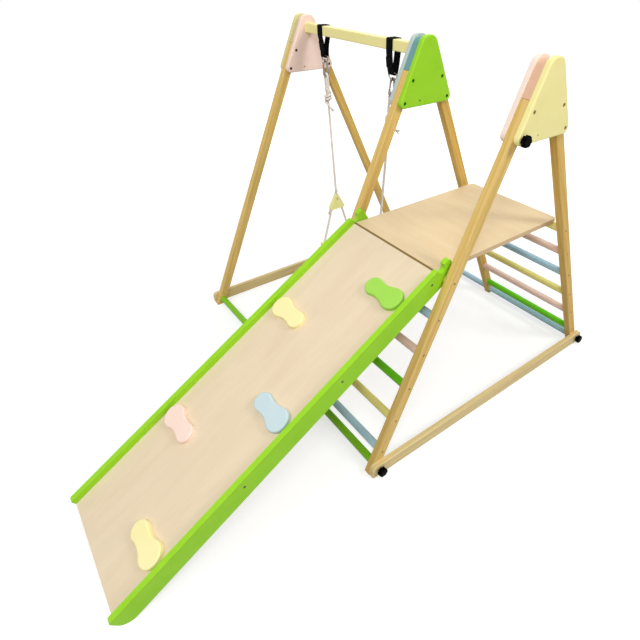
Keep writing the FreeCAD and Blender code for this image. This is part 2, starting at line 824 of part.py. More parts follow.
def hook_gate():
    """Straight gate of the snap hook, with a ball end at its pivot."""
    low_end, high_end = gate_ends()
    along = (high_end - low_end).normalize()
    pivot = gate_pivot()
    tip = high_end - along * part_gap
    ball = Part.makeSphere(gate_d / 2.0, pivot)
    return single(ball.fuse(Part.makeCylinder(gate_d / 2.0, (tip - pivot).Length, pivot, along)))


def hung(shape, sign):
    """Piece of a hanger, drawn upright under the ring, tilted along the rope and moved to its side."""
    placed = shape.copy()
    placed.rotate(V(0, 0, ring_low_z), V(0, 1, 0), sign * hang_tilt)
    placed.translate(V(swing_x + sign * hanger_half, 0, 0))
    return placed


def barrel_knot(diameter, height, top):
    """Plain body of a knot on a vertical rope."""
    body = Part.makeCylinder(diameter / 2.0, height, V(0, 0, top - height))
    radius = min(knot_round, height / 2.5)
    return single(body.makeFillet(radius, [e for e in body.Edges if not straight(e, Z_AXIS)]))


def rope_eye():
    """Rope doubled through the foot of the snap hook, down to the knot."""
    path = [
        line(V(-eye_r, 0, knot_top), V(-eye_r, 0, hook_axis_low)),
        arc(V(-eye_r, 0, hook_axis_low), V(0, 0, hook_axis_low + eye_r), V(eye_r, 0, hook_axis_low)),
        line(V(eye_r, 0, hook_axis_low), V(eye_r, 0, knot_top)),
    ]
    return tube(path, rope_d)


def rope_main(sign):
    """Taut rope from the knot to the top of the spreader."""
    far = (ring_low_z - spread_top) / math.cos(math.radians(hang_tilt)) + rope_d
    run = tube([line(V(0, 0, knot_top - knot_h), V(0, 0, ring_low_z - far))], rope_d)
    below = block(V(-bay_swing, -rope_d, 0), V(0, rope_d, spread_top))
    return single(hung(run, sign).cut(below))


def fan_y(z):
    """Distance of the fanned-out lower ropes from the middle plane at a height."""
    return rope_fan_top + (spread_bottom - z) * math.tan(fan)


def rope_fan(sign, side, diameter, z_low, z_high):
    """Stretch of a lower rope, or of the hole for it, cut level at both ends."""
    x = swing_x + sign * rope_half
    spare = diameter
    ends = [V(x, side * fan_y(z), z) for z in (z_high + spare, z_low - spare)]
    run = tube([line(ends[0], ends[1])], diameter)
    reach = fan_y(z_low - spare) + diameter
    keep = block(V(x - diameter, -reach, z_low), V(x + diameter, reach, z_high))
    return single(run.common(keep))


def rope_corners():
    """The four lower ropes, as a side along the row and a side front or rear."""
    return [(sign, side) for sign in (-1, 1) for side in (-1, 1)]


def swing_ropes():
    """All stretches of rope and their knots."""
    solids = []
    for sign in (-1, 1):
        solids.append(hung(rope_eye(), sign))
        solids.append(hung(barrel_knot(knot_d, knot_h, knot_top), sign))
        solids.append(rope_main(sign))
    for sign, side in rope_corners():
        solids.append(rope_fan(sign, side, rope_d, seat_bottom, spread_bottom))
        knot = barrel_knot(under_knot_d, under_knot_h, seat_bottom)
        knot.translate(V(swing_x + sign * rope_half, side * fan_y(seat_bottom), 0))
        solids.append(knot)
    return solids


def spreader(sign):
    """Triangular wooden plate where one rope becomes two."""
    x_low = swing_x + sign * rope_half - spread_thick / 2.0
    half = spread_width / 2.0
    half_angle = math.atan2(half, spread_height)
    peak = spread_top + spread_corner / math.sin(half_angle) - spread_corner
    flare = half * (peak - spread_bottom) / spread_height
    outline = [(-flare, spread_bottom), (flare, spread_bottom), (0, peak)]
    body = rounded(prism_x(outline, x_low, spread_thick), spread_corner, lambda e: straight(e, X_AXIS))
    hole = rod_x(x_low, x_low + spread_thick, 0, spread_top - spread_hole_down, spread_hole_d)
    return single(body.cut(hole))


def drilled_for_ropes(body, z_low, z_high, corners):
    """Seat piece with the slanted holes that the lower ropes run through."""
    size = rope_d + 2 * rope_gap
    return single(body.cut([rope_fan(sign, side, size, z_low, z_high) for sign, side in corners]))


def seat_board():
    """Flat seat with rounded corners."""
    half_x = seat_width / 2.0
    half_y = seat_depth / 2.0
    body = block(V(swing_x - half_x, -half_y, seat_bottom), V(swing_x + half_x, half_y, seat_top))
    body = rounded(body, seat_corner, lambda e: straight(e, Z_AXIS))
    body = rounded(body, seat_edge, lambda e: in_plane(e, Z_AXIS, seat_top))
    return drilled_for_ropes(body, seat_bottom, seat_top, rope_corners())


def side_bar(sign):
    """Bar from front to rear rope on one side of the seat."""
    x = swing_x + sign * rope_half
    reach = fan_y(side_bar_bottom) + side_bar_over
    low = V(x - side_bar_width / 2.0, -reach, side_bar_bottom)
    body = block(low, V(x + side_bar_width / 2.0, reach, side_bar_top))
    body = rounded(body, seat_bar_edge, lambda e: straight(e, V(0, 1, 0)))
    return drilled_for_ropes(body, side_bar_bottom, side_bar_top, [(sign, -1), (sign, 1)])


def cross_bar(side):
    """Bar across the seat, in front (the one that lifts) or behind."""
    top = cross_bar_bottom + cross_bar_height
    y = side * fan_y((cross_bar_bottom + top) / 2.0)
    half = rope_half + cross_bar_over
    low = V(swing_x - half, y - cross_bar_depth / 2.0, cross_bar_bottom)
    body = block(low, V(swing_x + half, y + cross_bar_depth / 2.0, top))
    body = rounded(body, seat_bar_edge, lambda e: straight(e, X_AXIS))
    return drilled_for_ropes(body, cross_bar_bottom, top, [(-1, side), (1, side)])


def sleeve(sign, side):
    """Wooden sleeve on a lower rope that keeps the side bar above the seat."""
    body = rope_fan(sign, side, sleeve_d, seat_top, side_bar_bottom)
    return drilled_for_ropes(body, seat_top, side_bar_bottom, [(sign, side)])


def seat_frame():
    """Sleeves, side bars and rear bar of the seat."""
    solids = [sleeve(sign, side) for sign, side in rope_corners()]
    solids += [side_bar(-1), side_bar(1), cross_bar(1)]
    return solids


def save(name, shape):
    """Write one piece, or a group of separate solids, to its file."""
    solids = shape if isinstance(shape, list) else [shape]
    moved = []
    for solid in solids:
        piece = solid.copy()
        piece.translate(origin * -1.0)
        moved.append(piece)
    result = moved[0] if len(moved) == 1 else Part.makeCompound(moved)
    result.exportStep("parts/%s.step" % name)


def build_frames():
    """Legs, plates, blocks, rungs, cross bars, beams, fasteners and knobs."""
    for frame in frames:
        for end, side in front_and_rear.items():
            save("leg_%s_%s" % (frame, end), leg(frame, side))
        save("plate_%s_a" % frame, ridge_plate(frame, -1))
        save("plate_%s_b" % frame, ridge_plate(frame, 1))
        save("apex_block_%s" % frame, apex_block(frame))
        if beam_sides[frame]:
            save("floor_beam_%s" % frame, floor_beam(frame))
        if knob_sides[frame]:
            save("knob_plate", plate_knob(frame))
            for end, side in front_and_rear.items():
                save("knob_%s" % end, foot_knob(frame, side))
    for end, side in front_and_rear.items():
        for number in range(rung_count):
            save("rung_%s_%d" % (end, number + 1), rung(side, number))
        save("stretchers_%s" % end, stretchers(side))
    save("plate_bolts", [solid for frame in frames for solid in frame_bolts(frame)])
    save("beam_bolts", [foot_bolt("left", side) for side in front_and_rear.values()])
    pins = rung_screws_of("middle") + rung_screws_of("right")
    save("rung_screws", [headed_pin(*pin) for pin in pins])
    save("swing_bar", swing_bar())
    save("strap_loops", [strap_loop(swing_x + sign * hanger_half) for sign in (-1, 1)])


def build_platform_and_ramp():
    """Platform with its cleats, and the ramp with its holds."""
    save("platform_board", deck())
    save("platform_cleats", cleats())
    save("ramp_panel", ramp_panel())
    save("ramp_rail_left", ramp_rail(-1))
    save("ramp_rail_right", ramp_rail(1))
    save("rail_screws", rail_screws())
    save("hold_green", hold(0, 1))
    save("hold_yellow", [hold(1, -1), hold(4, 1)])
    save("hold_blue", hold(2, 1))
    save("hold_pink", hold(3, -1))


def build_swing():
    """Rings, hooks, ropes, spreaders and seat."""
    hooks = []
    for sign in (-1, 1):
        hooks.append(ring(swing_x + sign * hanger_half))
        hooks.append(hung(hook_body(), sign))
    save("swing_hooks", hooks)
    save("hook_gate_left", hung(hook_gate(), -1))
    save("hook_gate_right", hung(hook_gate(), 1))
    save("swing_ropes", swing_ropes())
    save("rope_spreaders", [spreader(-1), spreader(1)])
    save("seat_board", seat_board())
    save("seat_frame", seat_frame())
    save("safety_bar", cross_bar(-1))


def report_ropes():
    """Print the bend radius of the rope and compare its volume with section times length."""
    length = 2.0 * (hook_axis_low - knot_top) + math.pi * eye_r
    section = math.pi * rope_d ** 2 / 4.0
    print("rope bends round the hook with radius %.1f mm" % eye_r)
    print("rope eye volume over section times length: %.4f" % (rope_eye().Volume / (section * length)))


os.makedirs("parts", exist_ok=True)
build_frames()
build_platform_and_ramp()
build_swing()
report_ropes()
print("ramp slope %.3f degrees, origin moved by %.3f, %.3f mm" % (math.degrees(slope), origin.x, origin.y))
print("hangers tilt %.3f degrees, lower ropes fan out %.3f degrees" % (hang_tilt, math.degrees(fan)))
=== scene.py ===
"""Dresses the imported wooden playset: camera, light, finishes, webbing, ropes and knots."""

from __future__ import annotations

import functools
import itertools
import json
import logging
import math
import random
from dataclasses import dataclass, field
from enum import Enum
from typing import Iterable, Mapping, Sequence

import bpy
from mathutils import Matrix, Quaternion, Vector

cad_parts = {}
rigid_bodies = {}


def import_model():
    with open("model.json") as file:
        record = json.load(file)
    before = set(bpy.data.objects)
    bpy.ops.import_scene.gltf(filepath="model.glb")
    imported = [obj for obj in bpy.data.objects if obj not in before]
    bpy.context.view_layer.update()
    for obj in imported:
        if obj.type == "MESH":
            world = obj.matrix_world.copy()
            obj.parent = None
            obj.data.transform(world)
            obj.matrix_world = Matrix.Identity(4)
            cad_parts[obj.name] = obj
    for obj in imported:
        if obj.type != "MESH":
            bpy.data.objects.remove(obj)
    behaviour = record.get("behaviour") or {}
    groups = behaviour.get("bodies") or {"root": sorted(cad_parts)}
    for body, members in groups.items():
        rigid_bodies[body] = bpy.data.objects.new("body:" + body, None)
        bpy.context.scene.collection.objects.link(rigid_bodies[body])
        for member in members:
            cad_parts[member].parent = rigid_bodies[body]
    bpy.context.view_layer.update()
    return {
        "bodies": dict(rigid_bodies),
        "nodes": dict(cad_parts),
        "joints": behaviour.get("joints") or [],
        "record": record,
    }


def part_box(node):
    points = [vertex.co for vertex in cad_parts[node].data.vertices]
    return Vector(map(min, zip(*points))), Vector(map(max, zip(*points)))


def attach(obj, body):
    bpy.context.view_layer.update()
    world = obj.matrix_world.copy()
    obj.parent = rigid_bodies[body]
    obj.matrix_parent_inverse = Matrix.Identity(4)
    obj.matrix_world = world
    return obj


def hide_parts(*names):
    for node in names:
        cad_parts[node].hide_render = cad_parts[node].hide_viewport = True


LOG = logging.getLogger("playset")

Piece = bpy.types.Object
Tree = bpy.types.NodeTree
Node = bpy.types.Node
Socket = bpy.types.NodeSocket
Value = Socket | float | Sequence[float]
Inputs = Mapping[object, Value]
Outputs = Mapping[str, Socket]
Triple = tuple[float, float, float]
Colour = Triple
Points = list[Vector]
SIDES = {-1: "left", 1: "right"}
ENDS = {-1: "front", 1: "rear"}

# Sizes shared with the part's source, in metres and degrees
LEG_LEAN = math.degrees(math.atan2(0.550, 1.200))
RAMP_SLOPE = 30.757
ROPE_DIAMETER = 0.010
EYE_RADIUS = 0.0093
EYE_LENGTH = 0.0588
KNOT_HEIGHT = 0.045
RING_RADIUS = 0.0225
RING_WIRE = 0.005
HOOK_WIRE = 0.008
HOOK_HEIGHT = 0.067
PART_GAP = 0.0003
FAN_TOP = 0.028
SEAT_ROPE_Y = 0.109
SPREADER_THICKNESS = 0.018
SPREADER_HOLE = 0.021
STRAP_WIDTH = 0.032
STRAP_FILLED = 0.003

# Sizes of the scene's own pieces, in metres
STRAP_THICKNESS = 0.0026
HALF_PLY = STRAP_THICKNESS / 2.0
HALF_WIDTH = STRAP_WIDTH / 2.0
STRAP_STEP = 0.0016
FINE_STEP = 0.0015
STRAIGHT_LEAD = 6.0 * ROPE_DIAMETER
STITCH_LENGTH = 0.0032
THREAD_RADIUS = 0.00045
WHIP_RADIUS = 0.0062
FLOOR_GAP = 0.0005
STRAND_SWELL = 1.06
FIBRES = 26
FIBRE_RADII = (0.0006, 0.0005, 0.00025)

# Shine of paint and lacquer, and the pitch of the webbing's ribs
WOOD_SHINE = 0.22
WEB_PITCH = 0.0024


class Grain(Enum):
    """Direction that the grain of a wooden piece runs in, as the turn that lays Z along it."""

    ALONG_X = (0.0, 90.0)
    ALONG_Y = (90.0, 0.0)
    FRONT_LEG = (LEG_LEAN, 0.0)
    REAR_LEG = (-LEG_LEAN, 0.0)
    DOWN_RAMP = (90.0 - RAMP_SLOPE, 0.0)

    def euler(self) -> Triple:
        """Turn in radians that brings the grain direction onto Z."""
        about_x, about_y = self.value
        return math.radians(about_x), math.radians(about_y), 0.0


class Skin(Enum):
    """Even surfaces: scale, edge radius and share of rubbing with painted highlight, roughness below and above, bump
    and its share, shine, metal.
    """

    PAINT = (1.0, 0.0025, 0.5, 0.05, 0.07, 0.00012, 0.6, WOOD_SHINE, 0.0)
    PLASTIC = (3.0, 0.0012, 0.6, 0.08, 0.10, 0.00015, 0.8, 0.02, 0.0)
    STEEL = (6.0, 0.0, 0.0, 0.06, 0.14, 0.00005, 0.6, 0.5, 1.0)


class Graph:
    """A short way to add and wire the nodes of one shader tree."""

    def __init__(self, tree: Tree, shared: SharedEffects | None = None) -> None:
        """Keep the tree that is drawn in, and the shared groups that it may use."""
        self.tree = tree
        self.shared = shared

    @functools.cached_property
    def place(self) -> Socket:
        """The piece's own coordinates, in metres."""
        return self.add("TexCoord").outputs["Object"]

    def add(self, kind: str, inputs: Inputs | None = None, **options: object) -> Node:
        """Add a node.

        Args:
            kind: Node type without its ShaderNode prefix.
            inputs: Values or sockets for its inputs, by name or number.
            options: Node properties to set first.

        Returns:
            The new node.
        """
        node = self.tree.nodes.new("ShaderNode" + kind)
        for name, value in options.items():
            setattr(node, name, value)
        for name, value in (inputs or {}).items():
            self.feed(node, name, value)
        return node

    def feed(self, node: Node, name: object, value: Value) -> None:
        """Link a socket to an input, or set the input's own value.

        Args:
            node: Node that takes the value.
            name: Input name or number.
            value: Output socket, number, vector or colour.
        """
        slot = node.inputs[name]
        if isinstance(value, Socket):
            self.tree.links.new(value, slot)
        else:
            slot.default_value = (*value, 1.0) if slot.type == "RGBA" else value

    def math(self, operation: str, first: Value, second: Value = 0.0, clamp: bool = False) -> Socket:
        """Result of a Math node."""
        return self.add("Math", {0: first, 1: second}, operation=operation, use_clamp=clamp).outputs[0]

    def weighted(self, *terms: tuple[Value, float], clamp: bool = False) -> Socket:
        """Sum of values, each with its own weight."""
        products = [self.math("MULTIPLY", value, weight) for value, weight in terms]
        return functools.reduce(lambda first, second: self.math("ADD", first, second, clamp), products)

    def dot(self, first: Value, second: Value) -> Socket:
        """Dot product of two vectors."""
        return self.add("VectorMath", {0: first, 1: second}, operation="DOT_PRODUCT").outputs["Value"]

    def noise(self, vector: Value, scale: float, detail: float = 2.0, distortion: float = 0.0) -> Socket:
        """Value of a noise texture, about 0.5 on average, with a scale in features per metre."""
        inputs = {"Vector": vector, "Scale": scale, "Detail": detail, "Distortion": distortion}
        return self.add("TexNoise", inputs).outputs[0]

    def drawn_out(self, vector: Value, share: float) -> Socket:
        """Coordinates that draw a pattern out along Z, by a share of its scale across."""
        return self.add("Mapping", {"Vector": vector, "Scale": (1.0, 1.0, share)}).outputs[0]

    def span(self, value: Value, low: float, high: float, to_low: float = 0.0, to_high: float = 1.0) -> Socket:
        """Value mapped from one range to another, clamped."""
        inputs = {0: value, 1: low, 2: high, 3: to_low, 4: to_high}
        return self.add("MapRange", inputs).outputs[0]

    def rough(self, value: Value, middle: float, below: float, above: float) -> Socket:
        """Roughness that a value between 0 and 1 moves about a middle one."""
        return self.span(value, 0.0, 1.0, middle - below, middle + above)

    def mix(self, factor: Value, first: Value, second: Value) -> Socket:
        """Mix of two colours, with the factor as the share of the second."""
        inputs = {"Factor": factor, 6: first, 7: second}
        return self.add("Mix", inputs, data_type="RGBA").outputs[2]

    def bump(self, height: Value, depth: float, strength: float) -> Socket:
        """Normal from a height between 0 and 1, with its real depth in metres."""
        inputs = {"Height": height, "Distance": depth, "Strength": strength}
        return self.add("Bump", inputs).outputs[0]

    def group(self, tree: Tree, inputs: Inputs) -> Outputs:
        """Outputs of a shared node group."""
        return self.add("Group", inputs, node_tree=tree).outputs

    def is_ray(self, *kinds: str) -> Socket:
        """Whether a ray is of one of the kinds named."""
        path = self.add("LightPath").outputs
        return functools.reduce(functools.partial(self.math, "MAXIMUM"), [path["Is %s Ray" % kind] for kind in kinds])

    def skin(self, scale: float) -> Outputs:
        """Outputs Mottle and Peel of an uneven skin."""
        return self.group(self.shared.skin, {"Vector": self.place, "Scale": scale})

    def wear_and_highlight(self, radius: float, share: float) -> Socket:
        """Share of rubbing and painted highlight on the outer edges."""
        mask = self.group(self.shared.edges, {"Vector": self.place, "Radius": radius})["Mask"]
        return self.math("MULTIPLY", mask, share)

    def turned(self, grain: Grain) -> Socket:
        """The piece's coordinates, with Z along its grain."""
        return self.add("Mapping", {"Vector": self.place, "Rotation": grain.euler()}).outputs[0]

    def wood(self, vector: Socket, ring_scale: float) -> Outputs:
        """Outputs Rings, Streak and Pores of a wood grain."""
        return self.group(self.shared.grain, {"Vector": vector, "Ring Scale": ring_scale})

    def finish(self, inputs: Inputs) -> None:
        """Feed the material's principled shader."""
        for name, value in inputs.items():
            self.feed(self.tree.nodes["Principled BSDF"], name, value)


def open_group(name: str, size: str, outputs: Sequence[str]) -> tuple[Graph, Outputs, Node]:
    """Start a shared shader node group that takes coordinates and one size.

    Args:
        name: Name of the group.
        size: Name of its second input.
        outputs: Names of its float outputs.

    Returns:
        The group's graph, its inputs and its output node.
    """
    tree = bpy.data.node_groups.new(name, "ShaderNodeTree")
    for socket, kind in (("Vector", "Vector"), (size, "Float")):
        tree.interface.new_socket(socket, in_out="INPUT", socket_type="NodeSocket" + kind)
    for socket in outputs:
        tree.interface.new_socket(socket, in_out="OUTPUT", socket_type="NodeSocketFloat")
    return Graph(tree), tree.nodes.new("NodeGroupInput").outputs, tree.nodes.new("NodeGroupOutput")


@dataclass
class SharedEffects:
    """The shader groups that several finishes use."""

    grain: Tree = field(init=False)
    skin: Tree = field(init=False)
    edges: Tree = field(init=False)
    weave: Tree = field(init=False)

    def build(self) -> None:
        """Make every group once."""
        for make in (self._grain, self._skin, self._edges, self._weave):
            make()

    def _grain(self) -> None:
        """Growth rings, streaks and pores of wood whose grain runs along Z."""
        graph, entry, leave = open_group("wood_grain", "Ring Scale", ("Rings", "Streak", "Pores"))
        vector = entry["Vector"]
        slow = graph.noise(graph.drawn_out(vector, 0.12), 9.0)
        drift = graph.math("MULTIPLY", graph.math("SUBTRACT", slow, 0.5), 0.03)
        offset = graph.add("CombineXYZ", {0: drift, 1: drift}).outputs[0]
        warped = graph.add("VectorMath", {0: graph.drawn_out(vector, 0.05), 1: offset}, operation="ADD")
        wave_in = {"Vector": warped.outputs[0], "Scale": entry["Ring Scale"], "Distortion": 1.5,
                   "Detail": 2.0, "Detail Scale": 1.2}
        wave = graph.add("TexWave", wave_in, wave_type="BANDS", bands_direction="DIAGONAL", wave_profile="SAW")
        streak = graph.noise(graph.drawn_out(vector, 0.03), 130.0, 4.0)
        pores = graph.noise(graph.drawn_out(vector, 0.025), 1500.0)
        graph.feed(leave, "Rings", wave.outputs["Fac"])
        graph.feed(leave, "Streak", graph.span(streak, 0.3, 0.7))
        graph.feed(leave, "Pores", graph.span(pores, 0.35, 0.65))
        self.grain = graph.tree

    def _skin(self) -> None:
        """Slight unevenness of a painted or moulded surface."""
        graph, entry, leave = open_group("surface_skin", "Scale", ("Mottle", "Peel"))
        inputs = {0: entry["Vector"], "Scale": entry["Scale"]}
        scaled = graph.add("VectorMath", inputs, operation="SCALE").outputs[0]
        graph.feed(leave, "Mottle", graph.span(graph.noise(scaled, 14.0, 3.0), 0.3, 0.7))
        graph.feed(leave, "Peel", graph.noise(scaled, 420.0))
        self.skin = graph.tree

    def _edges(self) -> None:
        """Mask of the outer edges of a piece, lightened by rubbing and by a painted highlight."""
        graph, entry, leave = open_group("edge_wear", "Radius", ("Mask",))
        soft = graph.add("Bevel", {"Radius": entry["Radius"]}, samples=4).outputs[0]
        sharp = graph.add("NewGeometry").outputs["Normal"]
        turn = graph.span(graph.dot(soft, sharp), 0.97, 0.75)
        patches = graph.span(graph.noise(entry["Vector"], 60.0, 3.0), 0.42, 0.62)
        graph.feed(leave, "Mask", graph.math("MULTIPLY", turn, patches, clamp=True))
        self.edges = graph.tree

    def _weave(self) -> None:
        """Ribs of flat webbing, from coordinates across and along it in metres, with a mask of painted shade in the
        grooves between the ribs.
        """
        graph, entry, leave = open_group("webbing_weave", "Pitch", ("Height", "Groove Shade"))
        parts = graph.add("SeparateXYZ", {0: entry["Vector"]}).outputs
        rate = graph.math("DIVIDE", math.tau, entry["Pitch"])
        across, along = (graph.math("SINE", graph.math("MULTIPLY", parts[axis], rate)) for axis in (0, 1))
        weft = graph.math("ABSOLUTE", graph.math("MULTIPLY", across, along))
        rib = graph.span(graph.weighted((across, 0.35), (weft, 1.0)), -0.35, 1.2)
        graph.feed(leave, "Height", rib)
        graph.feed(leave, "Groove Shade", graph.span(rib, 0.3, 0.1))
        self.weave = graph.tree


@dataclass(frozen=True)
class Finish:
    """A named material with one principled shader."""

    name: str

    def material(self, shared: SharedEffects) -> bpy.types.Material:
        """Make the material.

        Args:
            shared: Shader groups to draw on.

        Returns:
            The finished material.
        """
        material = bpy.data.materials.new(self.name)
        material.use_nodes = True
        self.wire(Graph(material.node_tree, shared))
        return material

    def wire(self, on: Graph) -> None:
        """Draw the nodes, which each kind of finish does in its own way."""
        raise NotImplementedError


@dataclass(frozen=True)
class Coating(Finish):
    """Satin paint, moulded plastic or plated steel; paint and plastic are rubbed on their edges, which also carry a
    painted highlight.
    """

    kind: Skin
    colour: Colour
    shade: Colour
    worn_and_highlight: Colour = (1.0, 1.0, 1.0)
    roughness: float = 0.42

    def wire(self, on: Graph) -> None:
        """Draw the coating.

        Args:
            on: Tree to draw in.
        """
        scale, edge, wear_and_highlight, below, above, depth, strength, shine, metal = self.kind.value
        skin = on.skin(scale)
        body = on.mix(skin["Mottle"], self.colour, self.shade)
        # Paler edges: rubbed paint, and a painted highlight as well.
        on.finish({"Base Color": on.mix(on.wear_and_highlight(edge, wear_and_highlight), body, self.worn_and_highlight),
                   "Roughness": on.rough(skin["Mottle"], self.roughness, below, above),
                   "Normal": on.bump(skin["Peel"], depth, strength), "Specular IOR Level": shine, "Metallic": metal})


@dataclass(frozen=True)
class Timber(Finish):
    """Clear-lacquered solid wood."""

    light: Colour
    dark: Colour
    grain: Grain
    ring_scale: float = 26.0
    roughness: float = 0.48

    def wire(self, on: Graph) -> None:
        """Draw the wood.

        Args:
            on: Tree to draw in.
        """
        wood = on.wood(on.turned(self.grain), self.ring_scale)
        tone = on.weighted((wood["Rings"], 0.45), (wood["Streak"], 0.45), (wood["Pores"], 0.12), clamp=True)
        body = on.mix(tone, self.light, self.dark)
        # Lighter edges: rubbed wood, and a painted highlight as well.
        pale = tuple(min(1.0, part * 1.12) for part in self.light)
        height = on.weighted((wood["Pores"], 1.0), (wood["Rings"], 0.5))
        on.finish({"Base Color": on.mix(on.wear_and_highlight(0.002, 0.45), body, pale),
                   "Roughness": on.rough(wood["Pores"], self.roughness, 0.06, 0.08),
                   "Normal": on.bump(height, 0.00008, 0.7), "Specular IOR Level": WOOD_SHINE})


@dataclass(frozen=True)
class Plywood(Finish):
    """Birch plywood: a quiet rotary-cut face, and layers that show on the sawn edges; sawn edges that face the butted
    side carry a painted shade for the seam.
    """

    light: Colour
    dark: Colour
    core: Colour
    grain: Grain
    face: Triple
    butted: Triple
    ply: float = 0.0017
    roughness: float = 0.55
    # Colour of the painted shade in the seam, on sawn edges that face the butted side.
    seam_shade: Colour = (0.46, 0.33, 0.13)

    def wire(self, on: Graph) -> None:
        """Draw the faces and the edges.

        Args:
            on: Tree to draw in.
        """
        turned = on.turned(self.grain)
        wood = on.wood(turned, 5.0)
        flame = on.noise(on.drawn_out(turned, 0.22), 16.0, 3.0, 0.8)
        fleck = on.noise(on.drawn_out(turned, 0.1), 420.0)
        tone = on.weighted((on.span(flame, 0.35, 0.68), 0.5), (wood["Streak"], 0.22),
                           (on.span(fleck, 0.5, 0.72), 0.25), clamp=True)
        face = on.mix(tone, self.light, self.dark)
        layers = on.math("PINGPONG", on.dot(on.place, self.face), self.ply)
        band = on.span(on.math("DIVIDE", layers, self.ply), 0.35, 0.65)
        sawn = on.mix(band, self.light, self.core)
        normal = on.add("TexCoord").outputs["Normal"]
        is_edge = on.span(on.math("ABSOLUTE", on.dot(normal, self.face)), 0.75, 0.45)
        # Painted shade: sawn edges facing the butted side turn dark, for the shadow in the seam.
        seam_shade_mask = on.span(on.dot(normal, self.butted), 0.45, 0.7)
        on.finish({"Base Color": on.mix(is_edge, face, on.mix(seam_shade_mask, sawn, self.seam_shade)),
                   "Roughness": on.span(flame, 0.3, 0.7, self.roughness - 0.07, self.roughness + 0.06),
                   "Normal": on.bump(wood["Pores"], 0.00006, 0.7), "Specular IOR Level": WOOD_SHINE})


@dataclass(frozen=True)
class BoltHead(Finish):
    """Sunk bolt heads painted with the reflection and recess shade of the plate around them, one dark colour for each
    place along the row.
    """

    reflected_shades: Sequence[Colour]
    steps: Sequence[float]
    roughness: float = 0.32

    def wire(self, on: Graph) -> None:
        """Draw the heads.

        Args:
            on: Tree to draw in.
        """
        along = on.add("SeparateXYZ", {0: on.place}).outputs[0]
        # Painted reflection and shade: each stretch of the row takes a dark copy of the plate colour around it.
        reflected_shade: Value = self.reflected_shades[0]
        for step, after in zip(self.steps, self.reflected_shades[1:]):
            reflected_shade = on.mix(on.math("GREATER_THAN", along, step), reflected_shade, after)
        skin = on.skin(6.0)
        level = on.span(skin["Mottle"], 0.0, 1.0, 0.75, 1.2)
        on.finish({"Base Color": on.add("HueSaturation", {"Value": level, "Color": reflected_shade}).outputs[0],
                   "Roughness": on.rough(skin["Mottle"], self.roughness, 0.06, 0.12),
                   "Normal": on.bump(skin["Peel"], 0.00005, 0.6), "Metallic": 1.0})


@dataclass(frozen=True)
class Webbing(Finish):
    """Flat woven strap, with its weave laid along the strap's own coordinates and painted shade in the grooves of the
    weave.
    """

    colour: Colour
    groove_shade: Colour

    def wire(self, on: Graph) -> None:
        """Draw the weave.

        Args:
            on: Tree to draw in.
        """
        along = on.add("UVMap", uv_map="strap").outputs[0]
        weave = on.group(on.shared.weave, {"Vector": along, "Pitch": WEB_PITCH})
        fluff = on.noise(along, 2600.0)
        thread = on.mix(on.span(fluff, 0.3, 0.7), self.colour, tuple(part * 1.8 for part in self.colour))
        height = on.weighted((weave["Height"], 1.0), (fluff, 0.2))
        # Painted shade: the grooves between the ribs take the darker colour.
        on.finish({"Base Color": on.mix(weave["Groove Shade"], thread, self.groove_shade), "Roughness": 0.75,
                   "Normal": on.bump(height, 0.0004, 0.9), "Specular IOR Level": 0.03})


@dataclass(frozen=True)
class Yarn(Finish):
    """Fibres of the twisted rope."""

    colour: Colour
    shade: Colour

    def wire(self, on: Graph) -> None:
        """Draw the fibres.

        Args:
            on: Tree to draw in.
        """
        skin = on.skin(4.0)
        fibre = on.noise(on.drawn_out(on.place, 0.35), 2400.0, 3.0)
        tone = on.weighted((skin["Mottle"], 0.45), (on.span(fibre, 0.35, 0.7), 0.4), clamp=True)
        on.finish({"Base Color": on.mix(tone, self.colour, self.shade), "Roughness": 0.85,
                   "Normal": on.bump(fibre, 0.0005, 0.8), "Sheen Weight": 0.3, "Specular IOR Level": 0.2})


RAMP_SINE = math.sin(math.radians(RAMP_SLOPE))
RAMP_COSINE = math.cos(math.radians(RAMP_SLOPE))
FRONT_TONES = ((0.86, 0.61, 0.235), (0.65, 0.415, 0.09))
REAR_TONES = ((0.80, 0.53, 0.165), (0.595, 0.36, 0.058))
BEAM_TONES = ((0.85, 0.69, 0.36), (0.67, 0.50, 0.20))
PLY_CORE = (0.52, 0.34, 0.17)
BLACK = (0.0014, 0.0014, 0.0016)
THREAD = (0.03, 0.03, 0.032)

# Painted reflection and recess shade of the plates on the bolt heads along the row, and the places where each gives
# way to the next
BOLT_REFLECTED_SHADES = ((0.20, 0.16, 0.05), (0.05, 0.028, 0.022), (0.07, 0.085, 0.085),
              (0.028, 0.12, 0.006), (0.12, 0.07, 0.055), (0.26, 0.20, 0.06))
BOLT_STEPS = (-0.573, -0.23, 0.115, 0.344, 0.573)
